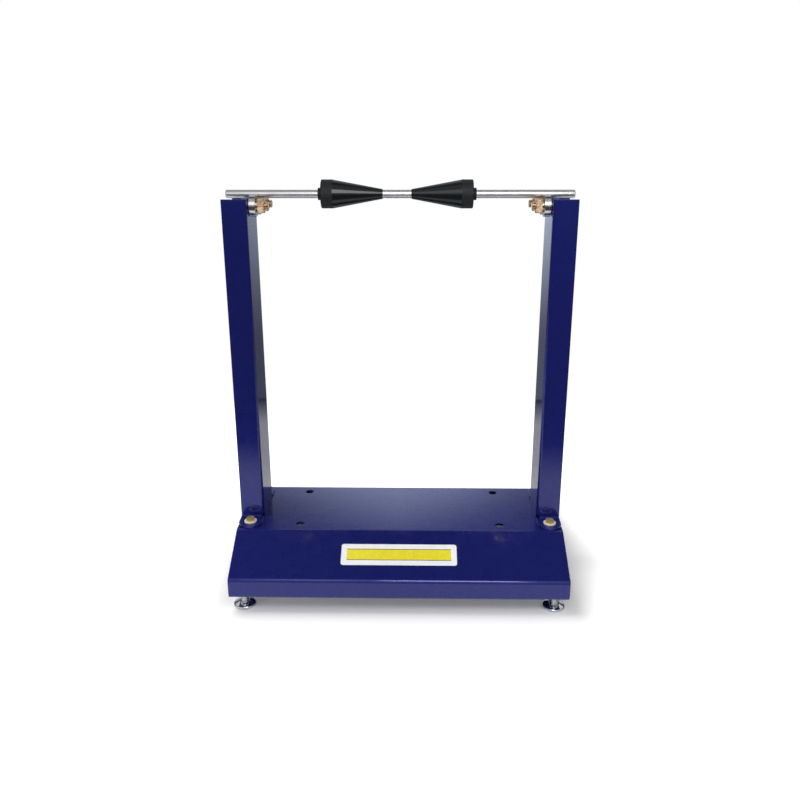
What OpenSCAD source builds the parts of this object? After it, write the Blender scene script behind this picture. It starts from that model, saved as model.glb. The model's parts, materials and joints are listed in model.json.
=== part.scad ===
// Wheel balancing stand: a bent sheet base on levelling feet, two channel uprights, and a shaft with
// two clamping cones that turns in a cradle of four ball bearings.
// X runs from left to right, Y from front to back and Z up from the floor. Sizes are in millimetres.

/* [Base] */
// Width of the base from side to side
base_w = 420; // [380:1:480]
// Depth of the flat top plate from its front bend to its back bend
plate_d = 132; // [124:1:160]
// How far each sloping face reaches out from the top plate
slope_run = 68; // [56:1:90]
// How far each sloping face falls
slope_drop = 35; // [30:1:46]
// Height of the upright lip below each sloping face
lip_h = 26; // [21:1:32]
// Width of the flange that is turned in under each lip
return_w = 42; // [36:1:52]
// Thickness of the base sheet
base_t = 3; // [2:0.5:4]
// Inside radius of the bends in the base
base_bend_r = 3; // [2:0.5:4]
// Height of the lower edge of the lips above the floor
ground_h = 21; // [20:1:30]

/* [Plate holes] */
// Diameter of the four fixing holes in the top plate
plate_hole_d = 11; // [6:0.5:14]
// Spacing of the fixing holes from side to side
plate_hole_x = 260; // [120:1:300]
// Spacing of the fixing holes from front to back
plate_hole_y = 100; // [40:1:108]

/* [Uprights] */
// Width of each upright, seen from the front
upright_w = 30; // [26:1:40]
// Depth of each upright from front to back
upright_d = 66; // [56:1:76]
// Height of each upright above the base
upright_h = 412; // [300:1:500]
// Thickness of the upright sheet
upright_t = 3; // [2:0.5:4]
// Inside radius of the bends in the uprights
upright_bend_r = 1.5; // [1:0.5:3]

/* [Tab fasteners] */
// Thread diameter of the bolts through the foot tabs
tab_bolt_d = 6; // [5:0.5:8]
// Width across the flats of the tab bolt heads and nuts
tab_hex_af = 10; // [9:0.5:13]
// Height of the tab bolt heads
tab_head_h = 4; // [3:0.5:6]
// Outside diameter of the tab washers
tab_washer_d = 16; // [14:0.5:20]
// Thickness of the tab washers
tab_washer_t = 1.6; // [1:0.1:2.5]
// Height of the tab nuts
tab_nut_h = 5; // [4:0.5:8]
// How far the tab bolts stand out of their nuts
tab_bolt_show = 3.4; // [1:0.1:8]

/* [Bearings] */
// Outside diameter of the ball bearings
bearing_od = 26; // [25:0.5:28]
// Bore of the ball bearings, which is the thread diameter of their bolts
bearing_bore = 10; // [9:0.5:10.5]
// Width of the ball bearings
bearing_w = 8; // [8:0.5:10]
// Diameter of the balls
ball_d = 4.8; // [4:0.1:5.2]
// Number of balls in each bearing
ball_n = 7; // [6:1:8]
// Gap between the two bearings on an upright
bearing_apart = 0.5; // [0.3:0.1:3]
// Depth of the bearing bolts below the top of the upright
bearing_edge = 8.6; // [7.2:0.2:10]
// Thickness of the spacers between the upright and the bearings
spacer_t = 1; // [0.6:0.1:3]
// Thickness of the shields that close the bearings
shield_t = 0.4; // [0.3:0.05:0.5]

/* [Bearing fasteners] */
// Width across the flats of the bearing bolt heads and nuts
bearing_hex_af = 17; // [16:0.5:18]
// Height of the bearing bolt heads
bearing_head_h = 6.4; // [5:0.1:8]
// Thickness of the washers under the bearing nuts
bearing_washer_t = 1.6; // [1:0.1:2.5]
// Height of the bearing nuts
bearing_nut_h = 8; // [6:0.5:10]
// How far the bearing bolts stand out of their nuts
bearing_bolt_show = 4.4; // [1:0.1:9]

/* [Shaft] */
// Diameter of the shaft
shaft_d = 10; // [8:0.5:12]
// How far each end of the shaft stands past its upright
shaft_past = 0; // [-15:1:40]
// Chamfer on the ends of the shaft
shaft_chamfer = 0.8; // [0.2:0.1:2]

/* [Cones] */
// Largest diameter of the cones
cone_d = 34; // [28:1:44]
// Wall of the cones around the shaft at the tip
cone_tip_wall = 0.75; // [0.5:0.05:2]
// Length of the tapered stretch of the cones
cone_taper_l = 60; // [40:1:70]
// Length of the straight band behind the taper
cone_band_l = 14; // [10:1:20]
// Wall of the short hub behind the band
cone_hub_wall = 2.2; // [1:0.1:4]
// Length of the short hub behind the band
cone_hub_l = 4; // [2:0.5:8]
// Distance of the left cone's tip from the middle of the stand
left_tip_x = 20.5; // [10:0.5:30]
// Distance of the right cone's tip from the middle of the stand
right_tip_x = 14; // [10:0.5:30]
// Thread diameter of the set screws in the cones
set_screw_d = 5; // [4:0.5:6]
// Depth of the set screws below the surface of the band
set_screw_sink = 0.8; // [0.2:0.1:2]
// Width across the flats of the sockets in the set screws
socket_af = 2.5; // [2:0.5:3]
// Depth of the sockets in the set screws
socket_depth = 3; // [1:0.5:5]

/* [Feet] */
// Distance of the feet from the sides of the base
foot_inset_x = 15; // [14:1:40]
// Distance of the feet behind the faces of the lips
foot_inset_y = 22; // [18:1:26]
// Diameter of the foot pads
foot_pad_d = 28; // [22:1:32]
// Height of the upright rim of the foot pads
foot_rim_h = 4; // [2:0.5:5]
// Height of the foot pads at the stem
foot_pad_h = 6.5; // [6:0.5:9]
// Thickness of the pad below the end of the stem
foot_floor_t = 2.5; // [1.5:0.5:4]
// Thread diameter of the foot stems
foot_stem_d = 10; // [8:0.5:12]
// Width across the flats of the nuts on the stems
foot_hex_af = 17; // [15:0.5:19]
// Height of the nuts above the flange
foot_upper_nut_h = 6; // [4:0.5:8]
// Height of the lock nuts below the flange
foot_lower_nut_h = 5; // [4:0.5:6]
// How far each foot can be screwed out
foot_travel = 12; // [8:1:14]

/* [Label] */
// Width of the label
label_w = 145; // [60:1:200]
// Height of the label along the slope
label_h = 31; // [16:1:40]
// Thickness of the label
label_t = 0.3; // [0.2:0.1:1]
// Radius of the corners of the label
label_corner_r = 3; // [1:0.5:6]
// Distance of the label below the front bend of the top plate
label_drop = 22; // [8:1:34]

/* [Clearances] */
// Gap around a thread in its nut
thread_gap = 0.05; // [0.02:0.01:0.1]
// Gap around a bolt in its plain hole
bolt_gap = 0.2; // [0.1:0.05:0.5]
// Gap between the cones and the shaft
cone_gap = 0.05; // [0.02:0.01:0.1]
// Gap between the shaft and the bearings that carry it
cradle_gap = 0.2; // [0.1:0.05:0.4]
// Gap between the balls and what holds them
ball_gap = 0.1; // [0.05:0.01:0.12]
// Gap between the shaft and the hollow cut for it in the uprights
relief_gap = 1.5; // [0.5:0.1:3]
// Gap between the shields and the inner rings
shield_gap = 0.3; // [0.1:0.05:0.5]

/* [Hidden] */
$fn = 64;

// The four corners of the stand: name, side (-1 left, 1 right) and row (-1 front, 1 rear)
CORNERS = [["front_left", -1, -1], ["front_right", 1, -1], ["rear_left", -1, 1], ["rear_right", 1, 1]];

PAINT = "#1d2269";
YELLOW_ZINC = "#c8a24a";
BRIGHT_STEEL = "#c9ccd0";
BLACK_OXIDE = "#1b1d1f";
WHITE_FILM = "#f2f2ee";

// Length that a bend takes from each of the two outer faces that meet there
function setback(r, t, turn) = (r + t) * tan(turn / 2);

// Base
slope_angle = atan2(slope_drop, slope_run);
slope_l = norm([slope_run, slope_drop]);
lip_turn = 90 - slope_angle;
base_top = ground_h + lip_h + slope_drop;
base_half_d = plate_d / 2 + slope_run;
plate_flat = plate_d / 2 - setback(base_bend_r, base_t, slope_angle);

// Uprights and their tabs, which end where the flat of the top plate ends
upright_corner = upright_bend_r + upright_t;
upright_top = base_top + upright_h;
web_x = base_w / 2 - upright_w;
tab_x = base_w / 2 - upright_w / 2;
tab_bolt_y = plate_flat - upright_w / 2;
corner_relief = 1.5;
channel_start = upright_corner + corner_relief;

// Bearings
bearing_z = upright_top - bearing_edge;
bearing_pitch = bearing_od + bearing_apart;
race_r = (bearing_bore + bearing_od) / 4;
groove_r = ball_d / 2 + ball_gap;
race_grip = 0.55;
inner_land_r = race_r - ball_d / 2 + race_grip;
outer_land_r = race_r + ball_d / 2 - race_grip;
shield_inset = 0.3;
shield_seat = 0.5;
shield_r = outer_land_r + shield_seat;
cage_half_w = 0.8;
cage_end_gap = 0.35;
cage_half_h = bearing_w / 2 - shield_inset - shield_t - cage_end_gap;
ring_chamfer = 0.4;
spacer_d = 2 * inner_land_r;

// Shaft and cones
cradle_reach = (bearing_od + shaft_d) / 2 + cradle_gap;
shaft_z = bearing_z + sqrt(pow(cradle_reach, 2) - pow(bearing_pitch / 2, 2));
shaft_l = base_w + 2 * shaft_past;
cone_bore_r = shaft_d / 2 + cone_gap;
cone_back = cone_taper_l + cone_band_l;
cone_chamfer = 0.8;

// Feet
foot_x = base_w / 2 - foot_inset_x;
foot_y = base_half_d - foot_inset_y;
foot_hub_wall = 2;
foot_edge = 0.8;
stem_top = ground_h + base_t + foot_upper_nut_h + foot_travel + foot_edge;

// Bolts
bolt_chamfer = 0.8;
tab_bolt_l = tab_washer_t + upright_t + base_t + tab_nut_h + tab_bolt_show;
bearing_stack = spacer_t + bearing_w + bearing_washer_t + bearing_nut_h;
bearing_bolt_l = upright_t + bearing_stack + bearing_bolt_show;

// How far a cut runs past the faces that it opens
pass = 1;

// Chords along each bend of a sheet
bend_steps = 12;

function along(angle) = [cos(angle), sin(angle)];

function reversed(points) = [for (i = [len(points) - 1:-1:0]) points[i]];

function mirrored(points) = [for (p = points) [-p[0], p[1]]];

// Points on one face of a bent sheet, from its first bend to its end. The sheet starts along +X, every
// bend turns down about a centre centre_r below the outer face, and the face lies depth below that.
function bent_face(flats, turns, centre_r, depth, step = 0, start = [0, 0], heading = 0) =
    let (
        face = depth * along(heading - 90),
        flat_end = start + flats[step] * along(heading),
        centre = flat_end + centre_r * along(heading - 90),
        turn = step < len(turns) ? turns[step] : 0,
        next = centre + centre_r * along(heading + 90 - turn)
    )
    step == len(turns) ? [flat_end + face] : concat(
        [for (k = [0:bend_steps]) centre + (centre_r - depth) * along(heading + 90 - turn * k / bend_steps)],
        bent_face(flats, turns, centre_r, depth, step + 1, next, heading - turn)
    );

// Edge of a sheet that runs one way: flats joined by bends, along +X with the outer face on the X axis
module bent_edge(flats, turns, t, r) {
    polygon(concat(
        [[0, -t], [0, 0]],
        bent_face(flats, turns, r + t, 0),
        reversed(bent_face(flats, turns, r + t, t))
    ));
}

// Edge of a sheet that runs the same way along +X and -X from the middle
module bent_both_ways(flats, turns, t, r) {
    outer = bent_face(flats, turns, r + t, 0);
    inner = bent_face(flats, turns, r + t, t);
    polygon(concat(mirrored(reversed(outer)), outer, reversed(inner), mirrored(inner)));
}

module at_tab(side, row) {
    translate([side * tab_x, row * tab_bolt_y, base_top]) children();
}

// Origin on the wheel side of the upright, with +Z towards the wheel
module at_bearing_seat(side, row) {
    translate([side * web_x, row * bearing_pitch / 2, bearing_z]) rotate([0, -90 * side, 0]) children();
}

// Origin in the middle of the bearing
module at_bearing(side, row) {
    at_bearing_seat(side, row) translate([0, 0, spacer_t + bearing_w / 2]) children();
}

// Origin on the floor below a foot
module at_foot(side, row) {
    translate([side * foot_x, row * foot_y, 0]) children();
}

// Origin at the tip of a cone, with +Z along the shaft towards its hub
module at_cone(side, tip_x) {
    translate([side * tip_x, 0, shaft_z]) rotate([0, 90 * side, 0]) children();
}

module at_all_corners() {
    for (corner = CORNERS) {
        $side = corner[1];
        $row = corner[2];
        children();
    }
}

// Flat ring standing on the XY plane
module flat_ring(inner_d, outer_d, t) {
    difference() {
        cylinder(d = outer_d, h = t);
        translate([0, 0, -pass]) cylinder(d = inner_d, h = t + 2 * pass);
    }
}

// Hexagon prism whose corners are turned off at the top, and at the bottom too for a nut
module hexagon(af, h, both_ends) {
    corner_d = af / cos(30);
    turned = (corner_d - af) / 2 * tan(30);
    intersection() {
        cylinder(d = corner_d, h = h, $fn = 6);
        rotate_extrude() polygon(concat(
            both_ends ? [[0, 0], [af / 2, 0], [corner_d / 2, turned]] : [[0, 0], [corner_d / 2, 0]],
            [[corner_d / 2, h - turned], [af / 2, h], [0, h]]));
    }
}

// Bolt with its head below the XY plane and its thread along +Z
module hex_bolt(d, l, af, head_h) {
    mirror([0, 0, 1]) hexagon(af, head_h, false);
    cylinder(d = d, h = l - bolt_chamfer);
    translate([0, 0, l - bolt_chamfer]) cylinder(d1 = d, d2 = d - 2 * bolt_chamfer, h = bolt_chamfer);
}

module hex_nut(d, af, h) {
    difference() {
        hexagon(af, h, true);
        translate([0, 0, -pass]) cylinder(d = d + 2 * thread_gap, h = h + 2 * pass);
    }
}

// Base
module base_sheet() color(PAINT) {
    flats = [
        plate_flat,
        slope_l - setback(base_bend_r, base_t, slope_angle) - setback(base_bend_r, base_t, lip_turn),
        lip_h - setback(base_bend_r, base_t, lip_turn) - setback(base_bend_r, base_t, 90),
        return_w - setback(base_bend_r, base_t, 90)
    ];
    turns = [slope_angle, lip_turn, 90];
    drill = base_t + 2 * pass;
    difference() {
        translate([base_w / 2, 0, base_top]) rotate([90, 0, -90]) linear_extrude(base_w)
            bent_both_ways(flats, turns, base_t, base_bend_r);
        at_all_corners() {
            translate([$side * plate_hole_x / 2, $row * plate_hole_y / 2, base_top - base_t - pass])
                cylinder(d = plate_hole_d, h = drill);
            at_tab($side, $row) translate([0, 0, -base_t - pass])
                cylinder(d = tab_bolt_d + 2 * bolt_gap, h = drill);
            at_foot($side, $row) translate([0, 0, ground_h - pass])
                cylinder(d = foot_stem_d + 2 * bolt_gap, h = drill);
        }
    }
}

// Uprights
module upright_channel() {
    flats = [
        upright_d / 2 - setback(upright_bend_r, upright_t, 90),
        upright_w - setback(upright_bend_r, upright_t, 90)
    ];
    translate([web_x, 0, base_top + channel_start]) rotate(90) linear_extrude(upright_h - channel_start)
        bent_both_ways(flats, [90], upright_t, upright_bend_r);
    web_foot_d = upright_d - 2 * upright_corner;
    translate([web_x, -web_foot_d / 2, base_top]) cube([upright_t, web_foot_d, channel_start]);
}

// Rear tab: the flange runs down into a bend, and the tab lies flat on the base with a round end
module upright_tab() {
    bend_w = upright_w - upright_corner;
    bend_end = upright_d / 2 + upright_bend_r;
    translate([web_x + upright_corner, tab_bolt_y, base_top]) rotate([90, 0, 90]) linear_extrude(bend_w)
        rotate(180) bent_edge([tab_bolt_y - bend_end, corner_relief], [90], upright_t, upright_bend_r);
    translate([0, 0, base_top]) linear_extrude(upright_t) {
        translate([web_x, bend_end]) square([upright_w, tab_bolt_y - bend_end]);
        translate([tab_x, tab_bolt_y]) circle(d = upright_w);
    }
}

module right_upright() color(PAINT) {
    difference() {
        union() {
            upright_channel();
            upright_tab();
            mirror([0, 1, 0]) upright_tab();
        }
        for (row = [-1, 1]) {
            at_tab(1, row) translate([0, 0, -pass])
                cylinder(d = tab_bolt_d + 2 * bolt_gap, h = upright_t + 2 * pass);
            at_bearing_seat(1, row) translate([0, 0, -upright_t - pass])
                cylinder(d = bearing_bore + 2 * bolt_gap, h = upright_t + 2 * pass);
        }
        translate([web_x - pass, 0, shaft_z]) rotate([0, 90, 0])
            cylinder(d = shaft_d + 2 * relief_gap, h = upright_t + 2 * pass);
    }
}

module left_upright() {
    mirror([1, 0, 0]) right_upright();
}

// Label on the front slope
module front_label() color(WHITE_FILM) {
    inner = [label_w / 2 - label_corner_r, label_h / 2 - label_corner_r];
    translate([0, -plate_d / 2, base_top]) rotate([slope_angle, 0, 0])
        translate([0, -label_drop - label_h / 2, 0]) linear_extrude(label_t) {
            square([label_w, 2 * inner[1]], center = true);
            square([2 * inner[0], label_h], center = true);
            for (x = [-1, 1], y = [-1, 1]) translate([x * inner[0], y * inner[1]]) circle(r = label_corner_r);
        }
}

// Tab fasteners
module tab_bolts() color(YELLOW_ZINC) {
    at_all_corners() at_tab($side, $row) translate([0, 0, upright_t + tab_washer_t]) rotate([180, 0, 0])
        hex_bolt(tab_bolt_d, tab_bolt_l, tab_hex_af, tab_head_h);
}

module tab_washers() color(YELLOW_ZINC) {
    at_all_corners() at_tab($side, $row) translate([0, 0, upright_t])
        flat_ring(tab_bolt_d + 2 * bolt_gap, tab_washer_d, tab_washer_t);
}

module tab_nuts() color(YELLOW_ZINC) {
    at_all_corners() at_tab($side, $row) translate([0, 0, -base_t - tab_nut_h])
        hex_nut(tab_bolt_d, tab_hex_af, tab_nut_h);
}

// Bearing fasteners
module bearing_bolts() color(YELLOW_ZINC) {
    at_all_corners() at_bearing_seat($side, $row) translate([0, 0, -upright_t])
        hex_bolt(bearing_bore - 2 * thread_gap, bearing_bolt_l, bearing_hex_af, bearing_head_h);
}

module bearing_spacers() color(YELLOW_ZINC) {
    at_all_corners() at_bearing_seat($side, $row)
        flat_ring(bearing_bore + 2 * thread_gap, spacer_d, spacer_t);
}

module bearing_washers() color(YELLOW_ZINC) {
    at_all_corners() at_bearing_seat($side, $row) translate([0, 0, spacer_t + bearing_w])
        flat_ring(bearing_bore + 2 * thread_gap, spacer_d, bearing_washer_t);
}

module bearing_nuts() color(YELLOW_ZINC) {
    at_all_corners() at_bearing_seat($side, $row)
        translate([0, 0, spacer_t + bearing_w + bearing_washer_t])
            hex_nut(bearing_bore, bearing_hex_af, bearing_nut_h);
}

// Ball bearings
module ring_around_balls(outline) {
    rotate_extrude() difference() {
        polygon(outline);
        translate([race_r, 0]) circle(r = groove_r);
    }
}

module bearing_inner_rings() color(BRIGHT_STEEL) {
    half = bearing_w / 2;
    bore_r = bearing_bore / 2;
    at_all_corners() at_bearing($side, $row) ring_around_balls([
        [bore_r, -half], [inner_land_r, -half], [inner_land_r, half], [bore_r, half]
    ]);
}

module outer_ring(side, row) color(BRIGHT_STEEL) {
    half = bearing_w / 2;
    r = bearing_od / 2;
    seat = half - shield_inset - shield_t;
    at_bearing(side, row) ring_around_balls([
        [shield_r, -half], [r - ring_chamfer, -half], [r, ring_chamfer - half],
        [r, half - ring_chamfer], [r - ring_chamfer, half], [shield_r, half],
        [shield_r, seat], [outer_land_r, seat], [outer_land_r, -seat], [shield_r, -seat]
    ]);
}

module shields(side, row) color(BRIGHT_STEEL) {
    at_bearing(side, row) for (face = [0, 1]) mirror([0, 0, face])
        translate([0, 0, bearing_w / 2 - shield_inset - shield_t])
            flat_ring(2 * (inner_land_r + shield_gap), 2 * (shield_r - thread_gap), shield_t);
}

module cage(side, row) color(YELLOW_ZINC) {
    at_bearing(side, row) difference() {
        translate([0, 0, -cage_half_h])
            flat_ring(2 * (race_r - cage_half_w), 2 * (race_r + cage_half_w), 2 * cage_half_h);
        around_balls() rotate([0, 90, 0]) cylinder(r = groove_r, h = bearing_od);
    }
}

module balls(side, row) color(BRIGHT_STEEL) {
    at_bearing(side, row) around_balls() translate([race_r, 0, 0]) sphere(d = ball_d);
}

module around_balls() {
    for (i = [0:ball_n - 1]) rotate(i * 360 / ball_n) children();
}

// Shaft and cones
module shaft() color(BRIGHT_STEEL) {
    half = shaft_l / 2;
    r = shaft_d / 2;
    translate([0, 0, shaft_z]) rotate([0, 90, 0]) rotate_extrude() polygon([
        [0, -half], [r - shaft_chamfer, -half], [r, shaft_chamfer - half],
        [r, half - shaft_chamfer], [r - shaft_chamfer, half], [0, half]
    ]);
}

module cone(side, tip_x) color(BLACK_OXIDE) {
    r = cone_d / 2;
    hub_r = cone_bore_r + cone_hub_wall;
    at_cone(side, tip_x) difference() {
        rotate_extrude() polygon([
            [cone_bore_r, 0], [cone_bore_r + cone_tip_wall, 0], [r, cone_taper_l],
            [r, cone_back - cone_chamfer], [r - cone_chamfer, cone_back], [hub_r, cone_back],
            [hub_r, cone_back + cone_hub_l], [cone_bore_r, cone_back + cone_hub_l]
        ]);
        translate([0, 0, cone_taper_l + cone_band_l / 2]) rotate([-90, 0, 0])
            cylinder(d = set_screw_d + 2 * thread_gap, h = cone_d);
    }
}

module set_screw(side, tip_x) color(BLACK_OXIDE) {
    low = shaft_d / 2 + cone_gap;
    high = cone_d / 2 - set_screw_sink;
    at_cone(side, tip_x) translate([0, 0, cone_taper_l + cone_band_l / 2]) rotate([-90, 0, 0]) difference() {
        translate([0, 0, low]) cylinder(d = set_screw_d, h = high - low);
        translate([0, 0, high - socket_depth])
            cylinder(d = socket_af / cos(30), h = socket_depth + pass, $fn = 6);
    }
}

// Levelling feet
module foot_pad(side, row) color(BRIGHT_STEEL) {
    r = foot_pad_d / 2;
    hub_r = foot_stem_d / 2 + foot_hub_wall;
    bore_r = foot_stem_d / 2 + thread_gap;
    at_foot(side, row) rotate_extrude() polygon([
        [0, 0], [r - foot_edge, 0], [r, foot_edge], [r, foot_rim_h - foot_edge], [r - foot_edge, foot_rim_h],
        [hub_r, foot_pad_h], [bore_r, foot_pad_h], [bore_r, foot_floor_t], [0, foot_floor_t]
    ]);
}

module foot_stem(side, row) color(BRIGHT_STEEL) {
    r = foot_stem_d / 2;
    at_foot(side, row) rotate_extrude() polygon([
        [0, foot_floor_t], [r, foot_floor_t],
        [r, stem_top - foot_edge], [r - foot_edge, stem_top], [0, stem_top]
    ]);
}

module foot_upper_nuts() color(BRIGHT_STEEL) {
    at_all_corners() at_foot($side, $row) translate([0, 0, ground_h + base_t])
        hex_nut(foot_stem_d, foot_hex_af, foot_upper_nut_h);
}

module foot_lower_nuts() color(BRIGHT_STEEL) {
    at_all_corners() at_foot($side, $row) translate([0, 0, ground_h - foot_lower_nut_h])
        hex_nut(foot_stem_d, foot_hex_af, foot_lower_nut_h);
}

base_sheet();
left_upright();
right_upright();
front_label();
tab_bolts();
tab_washers();
tab_nuts();
bearing_bolts();
bearing_spacers();
bearing_inner_rings();
bearing_washers();
bearing_nuts();
shaft();
cone(-1, left_tip_x);  // left_cone
cone(1, right_tip_x);  // right_cone
set_screw(-1, left_tip_x);  // left_set_screw
set_screw(1, right_tip_x);  // right_set_screw
foot_upper_nuts();
foot_lower_nuts();
for (corner = CORNERS) {
    outer_ring(corner[1], corner[2]);
    shields(corner[1], corner[2]);
    cage(corner[1], corner[2]);
    balls(corner[1], corner[2]);
    foot_pad(corner[1], corner[2]);
    foot_stem(corner[1], corner[2]);
}
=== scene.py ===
# %% [markdown]
# # A wheel balancing stand
# The stand is a bent sheet base on levelling feet, two sheet uprights, and a bright shaft with two cones
# that lies on four ball bearings. The engineering model is loaded first and stays where it is. Every cell
# below makes one kind of piece around it: the shape comes from a formula on whole arrays of points, and
# the finish comes from shader nodes. All sizes are metres, with Z up and X along the shaft.

# %% Load the engineering model
import json

import bmesh
import bpy
import numpy as np
from mathutils import Matrix, Vector


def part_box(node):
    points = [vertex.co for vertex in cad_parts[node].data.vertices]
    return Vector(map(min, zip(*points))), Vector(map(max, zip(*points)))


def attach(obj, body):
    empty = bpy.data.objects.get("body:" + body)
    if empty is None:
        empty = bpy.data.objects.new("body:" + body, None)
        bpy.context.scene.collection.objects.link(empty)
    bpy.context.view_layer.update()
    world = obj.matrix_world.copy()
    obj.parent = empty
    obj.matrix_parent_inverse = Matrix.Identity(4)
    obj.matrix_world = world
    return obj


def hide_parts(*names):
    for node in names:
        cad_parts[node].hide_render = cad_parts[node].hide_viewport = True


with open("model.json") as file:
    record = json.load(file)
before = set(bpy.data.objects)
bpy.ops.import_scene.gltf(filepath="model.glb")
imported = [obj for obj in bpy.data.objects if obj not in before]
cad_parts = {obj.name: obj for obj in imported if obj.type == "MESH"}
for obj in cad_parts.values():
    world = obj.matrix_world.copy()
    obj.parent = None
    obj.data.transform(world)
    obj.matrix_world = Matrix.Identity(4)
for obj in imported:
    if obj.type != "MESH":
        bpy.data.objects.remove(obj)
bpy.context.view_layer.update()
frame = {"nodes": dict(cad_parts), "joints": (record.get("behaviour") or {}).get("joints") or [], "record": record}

record = frame["record"]

# %% [markdown]
# ## Places and sizes
# Most places can be read off the loaded model: a node's box gives the lowest and highest corner, and a
# joint gives the axis that a piece turns about. Only what a box can't tell, such as the thickness of a
# sheet or the radius of a bend, is written here as a number.

# %% Places read from the model, and the sizes of the sheets
LEFT, RIGHT, FRONT, REAR = -1, 1, -1, 1
CORNERS = {
    "front_left": (LEFT, FRONT),
    "front_right": (RIGHT, FRONT),
    "rear_left": (LEFT, REAR),
    "rear_right": (RIGHT, REAR),
}
joint = {entry["name"]: entry for entry in frame["joints"]}
mount = {entry["name"]: entry for entry in record["mounts"]}


def box_of(node):
    """Lowest and highest corner of a node as two arrays."""
    low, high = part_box(node)
    return np.array(low), np.array(high)


base_low, base_high = box_of("base_sheet")
upright_low, upright_high = box_of("right_upright")
GROUND, TOP = base_low[2], base_high[2]
HALF_WIDTH, HALF_DEPTH = base_high[0], base_high[1]
WEB_X, CROWN = upright_low[0], upright_high[2]
SHAFT_Z = joint["shaft_spin"]["pos_m"][2]

SHEET = 0.003
BASE_BEND = 0.003
UPRIGHT_BEND = 0.0015
UPRIGHT_DEPTH = 0.066
PLATE_DEPTH = 0.132
LIP_HEIGHT = 0.026
RETURN_WIDTH = 0.042
CORNER_RELIEF = 0.0015
print("the base is", round(2 * HALF_WIDTH, 4), "wide and its top lies at", round(TOP, 4))

# %% [markdown]
# ## Tools for making parts
# A part is an array of points and a list of faces. Points could be moved by hand in Edit Mode, but a
# formula on whole arrays is shorter and can be checked. Parts are mirrored and joined as arrays, and only
# then put into a mesh, where points that coincide are welded: the poles and seams of turned shapes, and
# the edges that flat pieces share.

# %% Grids, parts and meshes
WELD = 1e-7


def grid_faces(rows, columns, close_rows=False, close_columns=False):
    """Quads of a grid of points stored row by row; a closed direction joins its last line to its first."""
    row = np.arange(rows if close_rows else rows - 1)[:, None]
    column = np.arange(columns if close_columns else columns - 1)[None, :]
    next_row = (row + 1) % rows
    next_column = (column + 1) % columns
    quads = [row * columns + column, row * columns + next_column]
    quads += [next_row * columns + next_column, next_row * columns + column]
    return np.stack(quads, -1).reshape(-1, 4).tolist()


def join_parts(parts):
    """One array of points and one list of faces from several (points, faces) pairs."""
    starts = np.cumsum([0] + [len(points) for points, _ in parts])
    points = np.concatenate([points for points, _ in parts])
    faces = [[start + i for i in face] for start, (_, some) in zip(starts, parts) for face in some]
    return points, faces


def mirrored(part, axis):
    """A part mirrored along an axis, with each face turned round so that it still points outwards."""
    points, faces = part
    flip = np.where(np.arange(3) == axis, -1.0, 1.0)
    return points * flip, [list(face)[::-1] for face in faces]


def welded_mesh(name, part, turn_out=True):
    """Mesh of a part, with coinciding points joined and, on a closed shape, all faces turned outwards."""
    points, faces = part
    mesh = bpy.data.meshes.new(name)
    mesh.from_pydata(np.asarray(points).tolist(), [], faces)
    work = bmesh.new()
    work.from_mesh(mesh)
    bmesh.ops.remove_doubles(work, verts=work.verts, dist=WELD)
    if turn_out:
        bmesh.ops.recalc_face_normals(work, faces=work.faces)
    work.to_mesh(mesh)
    work.free()
    return mesh


def add_object(name, data):
    """Object that holds some data, linked to the scene."""
    added = bpy.data.objects.new(name, data)
    bpy.context.scene.collection.objects.link(added)
    return added


print("a grid of 3 by 4 points has", len(grid_faces(3, 4)), "faces")

# %% [markdown]
# ## From a part to a piece
# A sheet is made as one face without thickness, the face that is seen. Solidify gives it its thickness
# behind that face, and the cut edges and hole walls may have a finish of their own, whose dark colour
# paints shade into the holes. Bevel takes the edge off, as tumbling and paint do. The Weighted Normal
# modifier comes last: it lets the large faces keep their own direction, so that a flat face beside a small
# rounding still looks flat. The finished piece rides on its body, so it moves when the body does, and it
# stands for the plain node, which hides.

# %% Pieces
SHARP_ANGLE = np.radians(40)
EDGE_SEGMENTS = 3


def thicken(piece, thickness, edges):
    """Sheet thickness behind the made face, and a finish for cut edges and hole walls if there is one: a dark one,
    as painted shade.
    """
    solid = piece.modifiers.new("sheet_thickness", "SOLIDIFY")
    solid.thickness = thickness
    solid.offset = -1.0
    solid.use_even_offset = True
    solid.use_quality_normals = True
    if edges:
        piece.data.materials.append(edges)
        solid.material_offset_rim = 1


def round_edges(piece, width):
    """Small round on every edge sharper than the sharp angle."""
    bevel = piece.modifiers.new("rounded_edges", "BEVEL")
    bevel.width = width
    bevel.segments = EDGE_SEGMENTS
    bevel.limit_method = "ANGLE"
    bevel.angle_limit = SHARP_ANGLE
    bevel.use_clamp_overlap = False


def make_piece(name, part, body, node, material, thickness=0.0, bevel=0.0, edges=None):
    """Piece made of a part, which rides on a body and stands for a node; with a thickness it is a sheet."""
    mesh = welded_mesh(name, part, turn_out=not thickness)
    mesh.shade_smooth()
    mesh.materials.append(material)
    piece = add_object(name, mesh)
    if thickness:
        thicken(piece, thickness, edges)
    if bevel:
        round_edges(piece, bevel)
    else:
        mesh.set_sharp_from_angle(angle=SHARP_ANGLE)
    piece.modifiers.new("weighted_normals", "WEIGHTED_NORMAL").keep_sharp = True
    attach(piece, body)
    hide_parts(node)
    print(name, "has", len(mesh.polygons), "faces")
    return piece


print("edges sharper than", round(np.degrees(SHARP_ANGLE)), "degrees get a round or stay crisp")

# %% [markdown]
# ## Turned shapes
# The shaft, cones, rings, washers and feet are turned on a lathe. A turned shape is an outline of
# (radius, height) points carried round an axis. Real turned edges are never knife sharp, so the outline
# first gets soft corners: between two tangent points, a quadratic curve with the corner as its control
# point is close enough to an arc. The Screw modifier can turn an outline too, but rows and columns of
# points also serve for threads and hexagons.

# %% Outlines and the lathe
ROUND_STEPS = 96
CORNER_STEPS = 5
CORNER_SHARE = 0.45


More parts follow.
